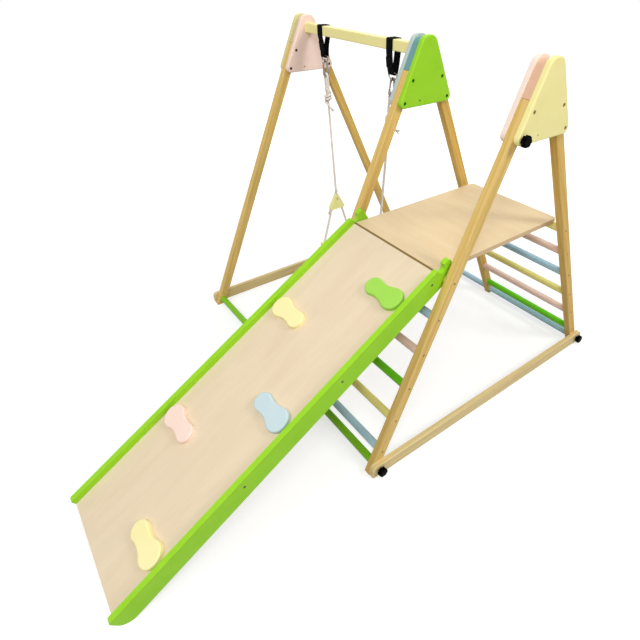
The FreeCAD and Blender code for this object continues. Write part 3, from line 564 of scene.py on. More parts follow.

# Paints: material name, colour, its darker mottle and the colour of rubbed edges, which also serves as a painted
# highlight
PAINTS = {
    "paint_green": ((0.335, 0.69, 0.020), (0.305, 0.65, 0.016), (0.50, 0.78, 0.16)),
    # The next two greens are darker copies of the green: painted shade for rungs and stretchers.
    "paint_shaded_deep_green": ((0.24, 0.58, 0.011), (0.22, 0.55, 0.010), (0.40, 0.64, 0.10)),
    "paint_rung_green": ((0.15, 0.62, 0.006), (0.13, 0.59, 0.005), (0.30, 0.68, 0.05)),
    "paint_yellow": ((0.94, 0.85, 0.375), (0.91, 0.81, 0.335), (0.95, 0.89, 0.56)),
    "paint_sand_yellow": ((0.80, 0.70, 0.34), (0.77, 0.67, 0.31), (0.86, 0.78, 0.50)),
    # A more saturated copy of the yellow: painted shade for the rungs.
    "paint_rung_yellow": ((0.93, 0.84, 0.29), (0.90, 0.80, 0.25), (0.94, 0.88, 0.45)),
    "paint_cream": ((0.98, 0.94, 0.43), (0.96, 0.91, 0.39), (0.98, 0.95, 0.58)),
    "paint_warm_cream": ((0.97, 0.88, 0.39), (0.95, 0.85, 0.355), (0.97, 0.91, 0.56)),
    "paint_pink": ((0.94, 0.71, 0.60), (0.91, 0.66, 0.56), (0.95, 0.80, 0.72)),
    # A pinker, darker copy of the faint pink: painted warm shade for the left frame's inner plate.
    "paint_rose": ((0.985, 0.75, 0.65), (0.965, 0.72, 0.62), (0.97, 0.84, 0.77)),
    "paint_faint_pink": ((0.98, 0.80, 0.69), (0.96, 0.77, 0.66), (0.97, 0.87, 0.80)),
    "paint_blue": ((0.46, 0.69, 0.80), (0.42, 0.65, 0.77), (0.68, 0.81, 0.86)),
    "paint_grey_blue": ((0.53, 0.62, 0.59), (0.50, 0.59, 0.55), (0.70, 0.74, 0.70)),
    "hold_green": ((0.38, 0.72, 0.098), (0.355, 0.69, 0.088), (0.52, 0.78, 0.22)),
    "hold_yellow": ((0.96, 0.88, 0.45), (0.94, 0.85, 0.41), (0.97, 0.91, 0.60)),
    "hold_pink": ((0.96, 0.75, 0.635), (0.94, 0.71, 0.60), (0.96, 0.83, 0.75)),
    "hold_blue": ((0.59, 0.72, 0.745), (0.555, 0.695, 0.725), (0.74, 0.82, 0.84)),
    # Apex blocks: darker copies of the plates' paints, as painted shade of the recess between the plates.
    "block_olive": ((0.70, 0.60, 0.28), (0.67, 0.57, 0.25), (0.78, 0.70, 0.43)),
    "block_teal": ((0.17, 0.36, 0.36), (0.15, 0.33, 0.33), (0.35, 0.52, 0.52)),
    "block_peach": ((0.78, 0.495, 0.33), (0.75, 0.465, 0.305), (0.86, 0.62, 0.48)),
}
FINISHES: list[Finish] = [Coating(name, Skin.PAINT, *tones) for name, tones in PAINTS.items()] + [
    Timber("wood_front_leg", *FRONT_TONES, Grain.FRONT_LEG),
    Timber("wood_rear_leg", *REAR_TONES, Grain.REAR_LEG),
    Timber("wood_beam", *BEAM_TONES, Grain.ALONG_Y),
    Timber("wood_batten", *FRONT_TONES, Grain.ALONG_X),
    Plywood("ply_deck", (0.83, 0.65, 0.40), (0.75, 0.56, 0.325), PLY_CORE, Grain.ALONG_X,
            (0.0, 0.0, 1.0), (0.0, -1.0, 0.0)),
    Plywood("ply_panel", (0.82, 0.685, 0.49), (0.755, 0.605, 0.42), PLY_CORE, Grain.DOWN_RAMP,
            (0.0, -RAMP_SINE, RAMP_COSINE), (0.0, RAMP_COSINE, RAMP_SINE)),
    Coating("black_plastic", Skin.PLASTIC, BLACK, BLACK, (0.006, 0.006, 0.006), 0.5),
    Coating("bright_steel", Skin.STEEL, (0.46, 0.42, 0.385), (0.12, 0.10, 0.085), roughness=0.22),
    Coating("dark_steel", Skin.STEEL, (0.115, 0.10, 0.075), (0.055, 0.05, 0.035), roughness=0.38),
    BoltHead("bolt_head", BOLT_REFLECTED_SHADES, BOLT_STEPS),
    Coating("plain_steel", Skin.STEEL, (0.30, 0.23, 0.12), (0.18, 0.135, 0.06), roughness=0.38),
    Webbing("black_webbing", (0.003, 0.003, 0.0034), (0.0008, 0.0008, 0.0008)),
    Coating("sewing_thread", Skin.PLASTIC, THREAD, THREAD, (0.05, 0.05, 0.05), 0.65),
    Yarn("cream_rope", (0.90, 0.82, 0.745), (0.76, 0.665, 0.58)),
]


@dataclass
class Workshop:
    """Materials by name, made once."""

    materials: dict[str, bpy.types.Material] = field(default_factory=dict)

    def build(self) -> None:
        """Make every finish."""
        shared = SharedEffects()
        shared.build()
        self.materials = {finish.name: finish.material(shared) for finish in FINISHES}

    def coat(self, piece: Piece, finish: str) -> None:
        """Give a piece one finish, by its name."""
        piece.data.materials.clear()
        piece.data.materials.append(self.materials[finish])


def smooth_line(points: Sequence[Vector], step: float, closed: bool = False) -> Points:
    """Points along the smooth curve that a route's points control.

    Args:
        points: Control points.
        step: Wanted distance between the points read, about.
        closed: Whether the line returns to its start.

    Returns:
        Points read from the curve, in order.
    """
    data = bpy.data.curves.new("route", "CURVE")
    data.dimensions = "3D"
    spline = data.splines.new("NURBS")
    spline.points.add(len(points) - 1)
    for slot, point in zip(spline.points, points):
        slot.co = (*point, 1.0)
    spline.order_u = 3
    spline.use_endpoint_u = not closed
    spline.use_cyclic_u = closed
    reach = travelled(points)[-1]
    spline.resolution_u = max(3, math.ceil(reach / step / (len(points) - 2)))
    holder = bpy.data.objects.new("route", data)
    mesh = bpy.data.meshes.new_from_object(holder)
    found = [vertex.co.copy() for vertex in mesh.vertices]
    bpy.data.objects.remove(holder)
    bpy.data.curves.remove(data)
    bpy.data.meshes.remove(mesh)
    return found


def travelled(points: Sequence[Vector]) -> list[float]:
    """Distance from the first point of a line to each of its points."""
    return [0.0, *itertools.accumulate((second - first).length for first, second in zip(points, points[1:]))]


def headings(points: Points, closed: bool = False) -> Points:
    """Direction of a line at each of its points."""
    ends = [points[-1], *points, points[0]] if closed else [points[0], *points, points[-1]]
    return [(after - before).normalized() for before, after in zip(ends, ends[2:])]


def carried_frames(points: Points) -> list[tuple[Vector, Vector]]:
    """Side directions that follow a line without twisting.

    Args:
        points: Line to follow.

    Returns:
        Two directions across the line at every point.
    """
    frames: list[tuple[Vector, Vector]] = []
    heading = (points[1] - points[0]).normalized()
    side = heading.orthogonal().normalized()
    for ahead in headings(points):
        side = heading.rotation_difference(ahead) @ side
        side = (side - ahead * side.dot(ahead)).normalized()
        heading = ahead
        frames.append((side.copy(), ahead.cross(side)))
    return frames


def around(frame: tuple[Vector, Vector], radius: float, angle: float) -> Vector:
    """Step out from a line, in its frame of side directions."""
    return frame[0] * (radius * math.cos(angle)) + frame[1] * (radius * math.sin(angle))


def turning(turns: float, samples: int, start: float = 0.0) -> list[tuple[float, float]]:
    """Even steps along a coil, each as a share of its length and an angle."""
    shares = [number / samples for number in range(samples + 1)]
    return [(share, math.tau * turns * share + start) for share in shares]


def stand(name: str, data: bpy.types.ID) -> Piece:
    """Put a new object with its mesh, lamp or camera into the scene."""
    bpy.context.scene.collection.objects.link(made := bpy.data.objects.new(name, data))
    return made


@dataclass
class MeshSketch:
    """Vertices and faces of a mesh under construction."""

    vertices: list[Vector] = field(default_factory=list)
    faces: list[tuple[int, ...]] = field(default_factory=list)

    def tube(self, points: Points, radius: float | Sequence[float], sides: int = 8) -> None:
        """Add a round tube with closed ends.

        Args:
            points: Centre line.
            radius: One radius, or one for each point.
            sides: Sides of its section.
        """
        radii = [radius] * len(points) if isinstance(radius, float) else radius
        base = len(self.vertices)
        for point, size, frame in zip(points, radii, carried_frames(points)):
            self.vertices += [point + around(frame, size, math.tau * number / sides) for number in range(sides)]
        self.wall(base, sides)

    def wall(self, base: int, sides: int, closed: bool = False) -> None:
        """Add the faces between rings of vertices, and over the ends of an open tube.

        Args:
            base: Number of the first vertex.
            sides: Vertices in a ring.
            closed: Whether the last ring is joined to the first.
        """
        count = len(self.vertices) - base
        for ring in range(0, count if closed else count - sides, sides):
            low, high = base + ring, base + (ring + sides) % count
            for number in range(sides):
                after = (number + 1) % sides
                self.faces.append((low + number, low + after, high + after, high + number))
        if not closed:
            last = base + count - sides
            self.faces += [tuple(reversed(range(base, base + sides))), tuple(range(last, last + sides))]

    def twisted(self, points: Points, diameter: float, lay: float, strands: int = 3) -> None:
        """Add a rope of strands twisted round a line.

        Args:
            points: Centre line with close points.
            diameter: Outer diameter of the rope.
            lay: Length of one turn of a strand.
            strands: Number of strands.
        """
        strand = diameter / 2.0 / (1.0 + 1.0 / math.sin(math.pi / strands))
        offset = diameter / 2.0 - strand
        steps = list(zip(points, travelled(points), carried_frames(points)))
        for number in range(strands):
            turn = number / strands
            line = [point + around(frame, offset, math.tau * (way / lay + turn)) for point, way, frame in steps]
            self.tube(line, strand * STRAND_SWELL)

    def piece(self, name: str) -> Piece:
        """Make the object.

        Args:
            name: Name of the piece.

        Returns:
            The new object, smooth shaded and linked to the scene.
        """
        mesh = bpy.data.meshes.new(name)
        mesh.from_pydata(self.vertices, [], self.faces)
        mesh.validate()
        mesh.polygons.foreach_set("use_smooth", [True] * len(mesh.polygons))
        LOG.info("%s built", name)
        return stand(name, mesh)


class Layout:
    """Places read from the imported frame, in metres, with hooks and knots as in the upright drawing of a hanger."""

    def __init__(self) -> None:
        """Read the boxes of the frame's nodes."""
        bar_low, bar_high = map(Vector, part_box("swing_bar"))
        strap_low, strap_high = map(Vector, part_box("strap_loops"))
        spread_low, spread_high = map(Vector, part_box("rope_spreaders"))
        seat_low, seat_high = map(Vector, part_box("seat_board"))
        self.ridge_y = (bar_low.y + bar_high.y) / 2.0
        self.bar_top, self.bar_bottom = bar_high.z, bar_low.z
        self.swing_x = (seat_low.x + seat_high.x) / 2.0
        self.hanger_half = (strap_high.x - strap_low.x - STRAP_WIDTH) / 2.0
        self.rope_half = (spread_high.x - spread_low.x - SPREADER_THICKNESS) / 2.0
        self.spread_top, self.spread_bottom = spread_high.z, spread_low.z
        self.seat_top, self.seat_bottom = seat_high.z, seat_low.z
        self.ring_bar_z = strap_low.z + STRAP_FILLED + RING_WIRE / 2.0 + PART_GAP
        self.ring_low_z = self.ring_bar_z - RING_RADIUS
        hook_top = self.ring_low_z + RING_WIRE / 2.0 + PART_GAP + HOOK_WIRE / 2.0 + HOOK_WIRE
        self.hook_low_z = hook_top - HOOK_HEIGHT
        self.knot_top = self.hook_low_z - EYE_LENGTH

    def hung(self, side: int) -> Matrix:
        """Placement of a hanger that is drawn upright about its own rope.

        Args:
            side: -1 for the left hanger, 1 for the right one.

        Returns:
            Transform from the upright drawing to the frame.
        """
        tilt = side * math.atan2(self.hanger_half - self.rope_half, self.ring_low_z - self.spread_top)
        lift = Matrix.Translation((self.swing_x + side * self.hanger_half, self.ridge_y, self.ring_low_z))
        return lift @ Matrix.Rotation(tilt, 4, "Y") @ Matrix.Translation((0.0, 0.0, -self.ring_low_z))

    def fan_y(self, height: float) -> float:
        """Distance of the lower ropes from the ridge plane at a height above the floor."""
        slope = (SEAT_ROPE_Y - FAN_TOP) / (self.spread_bottom - self.seat_top)
        return FAN_TOP + (self.spread_bottom - height) * slope


@dataclass
class Assembly:
    """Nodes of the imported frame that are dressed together."""

    shop: Workshop

    def finishes(self) -> dict[str, str]:
        """Names of the nodes, with the finish of each."""
        raise NotImplementedError

    def dress(self, nodes: Mapping[str, Piece]) -> None:
        """Coat the nodes.

        Args:
            nodes: The frame's node objects.
        """
        for node, finish in self.finishes().items():
            self.shop.coat(nodes[node], finish)
            LOG.info("%s dressed as %s", node, finish)


@dataclass
class Frames(Assembly):
    """The three A-frames with their rungs, beams, bar and fasteners."""

    # The left frame's inner plate takes a pinker copy of the faint pink: painted warm shade.
    plates: Sequence[str] = ("sand_yellow", "rose", "grey_blue", "green", "faint_pink", "yellow")
    # Apex blocks take darker copies of their plates' paints: painted shade of the recess between the plates.
    blocks: Sequence[str] = ("olive", "teal", "peach")
    # Rung paints include shaded copies of the green and yellow: painted shade.
    front_rungs: Sequence[str] = ("blue", "rung_yellow", "rung_green", "pink", "blue", "rung_yellow")
    rear_rungs: Sequence[str] = ("rung_green", "pink", "rung_yellow", "blue", "pink", "rung_yellow")

    def finishes(self) -> dict[str, str]:
        """Finish of every node of the frames.

        Returns:
            Node names and finish names.
        """
        frames = ("left", "middle", "right")
        plates = ["plate_%s_%s" % place for place in itertools.product(frames, "ab")]
        chosen = {plate: "paint_" + colour for plate, colour in zip(plates, self.plates)}
        for frame, block in zip(frames, self.blocks):
            chosen |= {"apex_block_" + frame: "block_" + block, "leg_%s_front" % frame: "wood_front_leg",
                       "leg_%s_rear" % frame: "wood_rear_leg"}
        for number, colours in enumerate(zip(self.front_rungs, self.rear_rungs), start=1):
            chosen |= {"rung_%s_%d" % (end, number): "paint_" + colour for end, colour in zip(ENDS.values(), colours)}
        return chosen | {
            "floor_beam_left": "wood_beam", "floor_beam_right": "wood_beam", "swing_bar": "paint_warm_cream",
            "knob_plate": "black_plastic", "knob_front": "black_plastic", "knob_rear": "black_plastic",
            # The front stretchers take a darker copy of the green: painted shade.
            "stretchers_front": "paint_shaded_deep_green", "stretchers_rear": "paint_blue",
            "plate_bolts": "bolt_head", "beam_bolts": "dark_steel", "rung_screws": "plain_steel"}


@dataclass
class Climb(Assembly):
    """The platform and the ramp with its holds."""

    def finishes(self) -> dict[str, str]:
        """Finish of every node of the platform and the ramp."""
        holds = {"hold_" + colour: "hold_" + colour for colour in ("green", "yellow", "blue", "pink")}
        return holds | {
            "platform_board": "ply_deck", "platform_cleats": "wood_batten", "ramp_panel": "ply_panel",
            "ramp_rail_left": "paint_green", "ramp_rail_right": "paint_green", "rail_screws": "dark_steel"}


@dataclass
class Hanger:
    """What the strap and the ropes of one side of the swing share."""

    shop: Workshop
    layout: Layout
    side: int

    @property
    def word(self) -> str:
        """The side in words."""
        return SIDES[self.side]


@dataclass
class Strap(Hanger):
    """One webbing loop round the swing bar, lapped and sewn, with a ring in its lowest bend."""

    bend: float = 0.0070
    lap: tuple[float, float] = (0.70, 0.22)
    bows: tuple[float, float] = (2.2, 0.6)
    stations: Sequence[float] = (0.06, 0.16, 0.3, 0.45, 0.6, 0.75, 0.92)
    half_section: Sequence[tuple[float, float]] = (
        (-1.0, 0.0), (-0.985, 0.8), (-0.94, 1.0), (-0.5, 0.97), (0.0, 0.97), (0.5, 0.97), (0.94, 1.0), (0.985, 0.8))

    def __post_init__(self) -> None:
        """Place the loop's own middle, the ends of its straight rear side, and its whole section."""
        plan = self.layout
        self.middle = Vector((plan.swing_x + self.side * plan.hanger_half, plan.ridge_y, 0.0))
        self.foot = plan.ring_bar_z - RING_WIRE / 2.0 - PART_GAP
        self.upper = Vector((0.0, (plan.bar_top - plan.bar_bottom) / 2.0 + PART_GAP + HALF_PLY, plan.bar_bottom))
        self.lower = Vector((0.0, self.bend + HALF_PLY, self.foot + self.bend))
        self.section = [*self.half_section, *((-across, -depth) for across, depth in self.half_section)]

    def ply(self, share: float) -> Vector:
        """Point on the bowed middle line of the rear side, from its foot at 0 to the bar at 1."""
        y = self.lower.y + (self.upper.y - self.lower.y) * share ** self.bows[self.side > 0]
        return Vector((0.0, y, self.lower.lerp(self.upper, share).z))

    def outline(self) -> Points:
        """Control points of the strap's middle layer, rear half first.

        Returns:
            Points with x and y measured from the loop's own middle.
        """
        upper, lower, bar_top = self.upper, self.lower, self.layout.bar_top
        low, top = self.foot - HALF_PLY, bar_top + PART_GAP + HALF_PLY
        rear = [(0.0024, low), (0.0068, low + 0.0004), (lower.y, lower.z - 0.0030)]
        rear += [tuple(self.ply(share).yz) for share in self.stations]
        rear += [(upper.y, upper.z + 0.0020), (upper.y, bar_top - 0.0060), (upper.y, bar_top - 0.0010),
                 (upper.y - 0.0004, top - 0.0004), (upper.y - 0.0050, top), (upper.y - 0.0100, top)]
        front = [(-y, z) for y, z in reversed(rear)]
        return [Vector((0.0, y, z)) for y, z in rear + front]

    def build(self) -> None:
        """Make the loop, the lap where its ends are sewn together, and the stitches."""
        line = smooth_line(self.outline(), STRAP_STEP, closed=True)
        LOG.info("strap_%s is %.0f mm round", self.word, travelled(line + line[:1])[-1] * 1000.0)
        self._web("strap_" + self.word, line, True)
        self._web("strap_lap_" + self.word, self._lapped(STRAP_THICKNESS, 12), False)
        self._stitches()

    def _web(self, name: str, line: Points, closed: bool) -> None:
        """Make a length of webbing, with coordinates across and along it in metres.

        Args:
            name: Name of the piece.
            line: Its middle line, from the loop's own middle.
            closed: Whether it returns to its start.
        """
        sketch = MeshSketch()
        for point, ahead in zip(line, headings(line, closed)):
            out = Vector((0.0, ahead.z, -ahead.y))
            for across, depth in self.section:
                offset = Vector((across * HALF_WIDTH, 0.0, 0.0)) + out * (depth * HALF_PLY)
                sketch.vertices.append(point + offset + self.middle)
        ring = len(self.section)
        sketch.wall(0, ring, closed)
        web = sketch.piece(name)
        layer = web.data.uv_layers.new(name="strap")
        ways = travelled(line + line[:1])
        for polygon in web.data.polygons:
            spots = [divmod(web.data.loops[loop].vertex_index, ring) for loop in polygon.loop_indices]
            wraps = max(spots)[0] - min(spots)[0] > 1
            for loop, (row, corner) in zip(polygon.loop_indices, spots):
                way = ways[-1] if wraps and row == 0 else ways[row]
                layer.data[loop].uv = (self.section[corner][0] * HALF_WIDTH, way)
        self.shop.coat(web, "black_webbing")
        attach(web, "frame")
        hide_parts("strap_loops")

    def _lapped(self, away: float, count: int) -> Points:
        """Line along the lap on the front side of the loop.

        Args:
            away: Distance out from the front side's middle line.
            count: Number of points.

        Returns:
            Points from the top of the lap down, from the loop's own middle.
        """
        start, stop = self.lap
        line: Points = []
        for number in range(count):
            share = start + (stop - start) * number / (count - 1)
            along = (self.ply(share - 0.01) - self.ply(share + 0.01)).normalized()
            point = self.ply(share) + Vector((0.0, -along.z, along.y)) * away
            line.append(Vector((0.0, -point.y, point.z)))
        return line

    def _stitches(self) -> None:
        """Make the thread of the lap: a box with a cross."""
        face = self._lapped(STRAP_THICKNESS * 1.5 + 0.0002, 41)

        def spot(place: Vector) -> Vector:
            """Point on the lap's outer face, from metres across it and a share of its length."""
            step = place.y * (len(face) - 1)
            return face[int(step)].lerp(face[int(step) + 1], step % 1.0) + Vector((place.x, 0.0, 0.0)) + self.middle

        reach, high, low = HALF_WIDTH - 0.0035, 0.86, 0.14
        corners = [Vector(place) for place in ((-reach, high), (reach, high), (reach, low), (-reach, low))]
        runs = list(zip(corners, corners[1:] + corners[:1])) + [(corners[0], corners[2]), (corners[1], corners[3])]
        bow = Vector((0.0, -0.00035, 0.0))
        sketch = MeshSketch()
        for start, end in runs:
            count = max(2, int((spot(end) - spot(start)).length / STITCH_LENGTH))
            for number in range(count):
                first, last = (spot(start.lerp(end, (number + share) / count)) for share in (0.12, 0.80))
                sketch.tube([first, first.lerp(last, 0.5) + bow, last], THREAD_RADIUS, 6)
        thread = sketch.piece("strap_stitch_" + self.word)
        self.shop.coat(thread, "sewing_thread")
        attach(thread, "frame")


@dataclass
class Ropes(Hanger):
    """Twisted ropes on one side of the swing, with their knots, lashing and frayed ends."""

    lay: float = 0.034
    step: float = 0.0022
    seed: int = 7
    tails: Sequence[Triple] = ((0.020, 0.007, -0.018), (0.027, 0.020, -0.015))

    def __post_init__(self) -> None:
        """Place the hanger that is drawn upright."""
        self.placed = self.layout.hung(self.side)

    def at(self, x: float, y: float, z: float) -> Vector:
        """Point at a height, with x and y from the middle of the spreader."""
        return Vector((self.layout.swing_x + self.side * self.layout.rope_half + x, self.layout.ridge_y + y, z))

    def _declare(self, name: str, route: Points, pieces: Sequence[Piece] = ()) -> None:
        """Args:
            name: Name of the piece.
            route: Route points in the frame, from its exit to the knot at its end.
            pieces: Separate pieces on it; not used.
        """
        line = smooth_line(route, self.step)
        sketch = MeshSketch()
        sketch.twisted(line, ROPE_DIAMETER, self.lay)
        rope = self._finish(sketch, name)

    def _straight(self, name: str, start: Vector, end: Vector, *pieces: Piece) -> None:
        """Build one straight rope between two points, with other pieces on it."""
        away = (end - start).normalized() * STRAIGHT_LEAD
        self._declare(name, [start, start + away, end - away, end], pieces)

    def eye(self) -> None:
        """Rope doubled through the foot of the snap hook."""
        hook, knot = self.layout.hook_low_z, self.layout.knot_top
        heights = (knot, (knot + hook) / 2.0, hook + EYE_RADIUS)
        drawn = [(-EYE_RADIUS, z) for z in heights] + [(EYE_RADIUS, z) for z in reversed(heights)]
        self._declare("rope_eye_" + self.word, [self.placed @ Vector((x, 0.0, z)) for x, z in drawn])

    def main(self) -> None:
        """Taut rope from the spreader up to its hanger knot."""
        start = self.at(0.0, 0.0, self.layout.spread_top)
        end = self.placed @ Vector((0.0, 0.0, self.layout.knot_top - KNOT_HEIGHT))
        self._straight("rope_main_" + self.word, start, end, self.knot(), self.lashing())

    def fan(self, end: int) -> None:
        """Lower rope from the spreader to the seat.

        Args:
            end: -1 front, 1 rear.
        """
        plan = self.layout
        start, stop = (self.at(0.0, end * plan.fan_y(z), z) for z in (plan.spread_bottom, plan.seat_bottom))
        pieces = [self.seat_knot(end)]
        if end < 0:
            pieces.append(self.spreader_tail())
        self._straight("rope_low_%s_%s" % (self.word, ENDS[end]), start, stop, *pieces)

    def _finish(self, sketch: MeshSketch, name: str) -> Piece:
        """Make a rope, knot or lashing that rides on the swing.

        Args:
            sketch: Its mesh.
            name: Name of the piece.

        Returns:
            The piece.
        """
        piece = sketch.piece(name)
        self.shop.coat(piece, "cream_rope")
        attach(piece, "swing")
        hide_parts("swing_ropes")
        return piece

    def _frayed(self, sketch: MeshSketch, tip: Vector, toward: Sequence[float], salt: int) -> None:
        """Add loose fibres at the end of a rope.

        Args:
            sketch: Mesh to add to.
            tip: End of the rope.
            toward: Direction in which it ends.
            salt: Number that makes its random draws its own.
        """
        source = random.Random(self.seed + salt)
        heading = Vector(toward).normalized()
        side = heading.orthogonal().normalized()
        for _ in range(FIBRES):
            out = Quaternion(heading, source.uniform(0.0, math.tau)) @ side
            root = tip + out * source.uniform(0.0, 0.0042) - heading * 0.004
            reach = source.uniform(0.009, 0.017)
            splay = source.uniform(0.15, 0.55)
            middle = root + heading * (reach * 0.55) + out * (reach * splay * 0.35)
            end = root + heading * reach + out * (reach * splay) + Vector((0.0, 0.0, -reach * 0.12))
            sketch.tube([root, middle, end], FIBRE_RADII, 5)

    def knot(self) -> Piece:
        """Wrapped knot under the snap hook, with its frayed tail.

        Returns:
            The knot.
        """
        top = self.layout.knot_top
        drawn = ((EYE_RADIUS, top + 0.001), (0.0052, top - 0.012), (0.0045, top - 0.03), (0.001, top - KNOT_HEIGHT))
        sketch = MeshSketch()
        for mirror in SIDES:
            core = [self.placed @ Vector((mirror * x, 0.0, z)) for x, z in drawn]
            sketch.twisted(smooth_line(core, self.step), ROPE_DIAMETER, self.lay)
        wrap: Points = []
        for share, angle in turning(2.6, 66, 0.6):
            z = top - 0.0085 - (KNOT_HEIGHT - 0.0155) * share + 0.0045 * math.sin(angle + 0.8)
            wrap.append(self.placed @ Vector((0.0120 * math.cos(angle), 0.0104 * math.sin(angle), z)))
        sketch.twisted(wrap, ROPE_DIAMETER * 1.04, self.lay)
        start, tail = wrap[-1], Vector(self.tails[self.side > 0])
        bent = start + Vector((0.010, 0.003, -0.007))
        line = smooth_line([start, start + Vector((0.006, -0.002, -0.002)), bent, bent + tail], self.step)
        sketch.twisted(line, ROPE_DIAMETER * 0.92, self.lay)
        self._frayed(sketch, line[-1], tail, self.side)
        return self._finish(sketch, "knot_" + self.word)

    def seat_knot(self, end: int) -> Piece:
        """Stopper knot under the seat.

        Args:
            end: -1 front, 1 rear.

        Returns:
            The knot.
        """
        bottom = self.layout.seat_bottom
        centre = self.at(0.0, end * self.layout.fan_y(bottom), bottom - PART_GAP)
        sketch = MeshSketch()
        drawn = ((0.0, 0.0), (0.0, -0.012), (0.001, -0.024), (0.003, -0.034))
        line = smooth_line([centre + Vector((x, 0.0, z)) for x, z in drawn], self.step)
        sketch.twisted(line, ROPE_DIAMETER, self.lay)
        wrap: Points = []
        for share, angle in turning(1.6, 40, self.side + end):
            z = -0.0056 - 0.0105 * share + 0.0015 * math.sin(angle)
            wrap.append(centre + Vector((0.0074 * math.cos(angle), 0.0074 * math.sin(angle), z)))
        sketch.twisted(wrap, ROPE_DIAMETER * 0.9, self.lay)
        self._frayed(sketch, line[-1], (0.1, 0.0, -1.0), 3 * self.side + end)
        return self._finish(sketch, "seat_knot_%s_%s" % (self.word, ENDS[end]))

    def spreader_tail(self) -> Piece:
        """Short frayed end that hangs out of the front corner of the spreader.

        Returns:
            The tail.
        """
        corner = self.at(0.0, -FAN_TOP, self.layout.spread_bottom)
        drawn = ((-0.001, 0.005), (-0.008, 0.004), (-0.0115, -0.003), (-0.0125, -0.011))
        line = smooth_line([corner + Vector((0.0, y, z)) for y, z in drawn], FINE_STEP)
        sketch = MeshSketch()
        sketch.twisted(line, 0.0062, 0.020)
        self._frayed(sketch, line[-1], (0.0, -0.15, -1.0), 11 * self.side)
        return self._finish(sketch, "spreader_tail_" + self.word)

    def lashing(self) -> Piece:
        """Strands of the main rope, spliced through the hole at the top of the spreader.

        Returns:
            The lashing.
        """
        top, half = self.layout.spread_top, SPREADER_THICKNESS / 2.0
        hole = top - SPREADER_HOLE
        one = [(0.002, top + 0.016), (0.006, top + 0.009), (half + 0.0025, top - 0.001), (half + 0.0025, hole + 0.006),
               (half + 0.0016, hole + 0.001)]
        drawn = one + [(0.0, hole + 0.001)] + [(-across, z) for across, z in reversed(one)]
        route = [self.at(across, 0.0, z) for across, z in drawn]
        sketch = MeshSketch()
        sketch.twisted(smooth_line(route, FINE_STEP), 0.0044, 0.016)
        foot = self.at(0.0, 0.0, top + 0.011)
        whip = [foot + Vector((WHIP_RADIUS * math.cos(angle), WHIP_RADIUS * math.sin(angle), 0.008 * share))
                for share, angle in turning(4.0, 72)]
        sketch.tube(whip, 0.0011, 6)
        return self._finish(sketch, "spreader_lashing_" + self.word)


@dataclass
class Swing(Assembly):
    """Everything that hangs from the swing bar."""

    layout: Layout

    def finishes(self) -> dict[str, str]:
        """Finish of every node of the swing."""
        steel = dict.fromkeys(("swing_hooks", "hook_gate_left", "hook_gate_right"), "bright_steel")
        return steel | dict.fromkeys(("rope_spreaders", "seat_board", "seat_frame", "safety_bar"), "paint_cream")

    def dress(self, nodes: Mapping[str, Piece]) -> None:
        """Coat the nodes and build straps, ropes and knots.

        Args:
            nodes: The frame's node objects.
        """
        super().dress(nodes)
        for side in SIDES:
            Strap(self.shop, self.layout, side).build()
            ropes = Ropes(self.shop, self.layout, side)
            ropes.main()
            ropes.eye()
            for end in ENDS:
                ropes.fan(end)


@dataclass(frozen=True)
class Eye:
    """The photograph's camera, recovered from the frames' own lines."""

    place: Triple = (1.37047, -0.80581, 1.39775)
    yaw: float = 51.850
    pitch: float = 33.413
    roll: float = 0.552
    focal: float = 501.761
    centre: tuple[float, float] = (369.945, 282.797)
    image: float = 640.0

    def build(self) -> None:
        """Make the camera."""
        yaw, pitch, roll = (math.radians(angle) for angle in (self.yaw, self.pitch, self.roll))
        level = Matrix.Rotation(yaw, 4, "Z") @ Matrix.Rotation(math.pi / 2.0 - pitch, 4, "X")
        data = bpy.data.cameras.new("eye")
        data.sensor_width = 36.0
        data.lens = self.focal / self.image * data.sensor_width
        data.shift_x = (self.image / 2.0 - self.centre[0]) / self.image
        data.shift_y = (self.centre[1] - self.image / 2.0) / self.image
        data.clip_end = 50.0
        camera = stand("eye", data)
        camera.matrix_world = Matrix.Translation(self.place) @ level @ Matrix.Rotation(roll, 4, "Z")
        bpy.context.scene.camera = camera
        LOG.info("camera placed")


@dataclass(frozen=True)
class Lamp:
    """One square area lamp."""

    name: str
    place: Triple
    aim: Triple
    size: float
    power: float

    def build(self) -> None:
        """Add the lamp, turned to the point it shines at."""
        data = bpy.data.lights.new(self.name, "AREA")
        data.size = self.size
        data.energy = self.power
        lamp = stand(self.name, data)
        lamp.location = self.place
        lamp.rotation_euler = (Vector(self.aim) - Vector(self.place)).to_track_quat("-Z", "Y").to_euler()


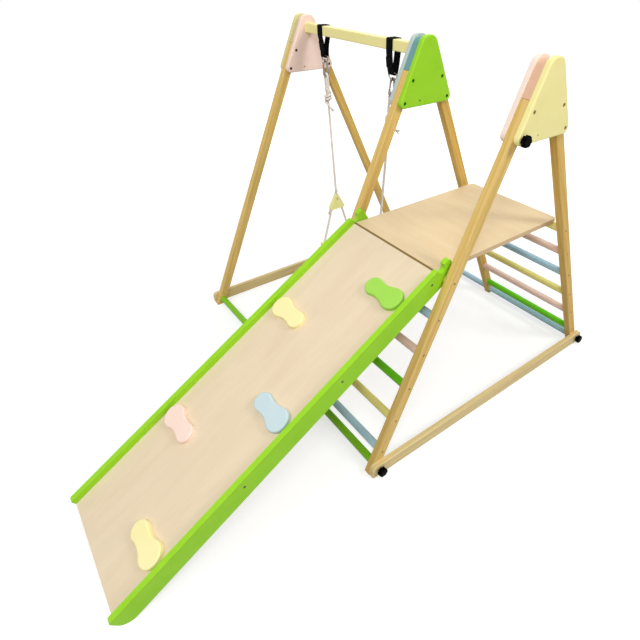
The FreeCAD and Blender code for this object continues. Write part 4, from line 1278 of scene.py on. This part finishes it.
@dataclass
class Studio:
    """Pale floor, white surroundings and large soft lamps."""

    white: Colour = (1.0, 1.0, 1.0)
    floor_grey: Colour = (0.52, 0.52, 0.52)
    world_level: float = 0.22
    floor_half: float = 15.0
    glow_near: float = 0.60
    glow_far: float = 1.0
    lamps: Sequence[Lamp] = (
        Lamp("top", (0.0, 0.1, 4.2), (0.0, 0.0, 0.6), 3.4, 23.0),
        Lamp("near", (2.2, -1.5, 3.3), (-0.4, 0.2, 0.8), 1.0, 47.0),
        Lamp("front", (0.0, -4.6, 4.2), (0.0, -0.2, 0.6), 3.0, 110.0),
        Lamp("right", (5.4, 2.6, 5.2), (0.0, 0.0, 0.7), 2.2, 212.0),
        Lamp("back", (-2.8, 2.2, 2.6), (0.0, 0.1, 0.6), 2.6, 31.0))

    def build(self) -> None:
        """Make the floor, the world and the lamps."""
        self._floor()
        self._world()
        for lamp in self.lamps:
            lamp.build()
        bpy.context.scene.view_settings.view_transform = "Standard"
        LOG.info("studio built")

    def _floor(self) -> None:
        """Make a pale floor that is white to the eye and keeps the object's shadow."""
        mesh = bpy.data.meshes.new("floor")
        corners = [(x * self.floor_half, y * self.floor_half, 0.0) for x, y in ((-1, -1), (1, -1), (1, 1), (-1, 1))]
        mesh.from_pydata(corners, [], [(0, 1, 2, 3)])
        floor = stand("floor", mesh)
        floor.location.z = -FLOOR_GAP
        material = bpy.data.materials.new("floor")
        material.use_nodes = True
        graph = Graph(material.node_tree)
        material.node_tree.nodes.clear()
        matt = graph.add("BsdfDiffuse", {"Color": self.floor_grey})
        away = graph.add("VectorMath", {0: graph.place}, operation="LENGTH").outputs["Value"]
        level = graph.span(away, 1.0, 3.0, self.glow_near, self.glow_far)
        strength = graph.math("MULTIPLY", graph.is_ray("Camera", "Glossy"), level)
        glow = graph.add("Emission", {"Color": self.white, "Strength": strength})
        both = graph.add("AddShader", {0: matt.outputs[0], 1: glow.outputs[0]})
        graph.add("OutputMaterial", {"Surface": both.outputs[0]})
        mesh.materials.append(material)

    def _world(self) -> None:
        """Make plain surroundings that look white and light the object evenly."""
        world = bpy.data.worlds.new("studio")
        world.use_nodes = True
        graph = Graph(world.node_tree)
        world.node_tree.nodes.clear()
        seen = graph.is_ray("Camera", "Glossy", "Transmission")
        level = graph.span(seen, 0.0, 1.0, self.world_level, 1.0)
        sky = graph.add("Background", {"Color": self.white, "Strength": level})
        graph.add("OutputWorld", {"Surface": sky.outputs[0]})
        bpy.context.scene.world = world


def main() -> None:
    """Build the scene in order."""
    logging.basicConfig(level=logging.INFO, format="%(name)s: %(message)s")
    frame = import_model()
    Eye().build()
    Studio().build()
    shop = Workshop()
    shop.build()
    Frames(shop).dress(frame["nodes"])
    Climb(shop).dress(frame["nodes"])
    Swing(shop, Layout()).dress(frame["nodes"])


if __name__ == "__main__":
    main()
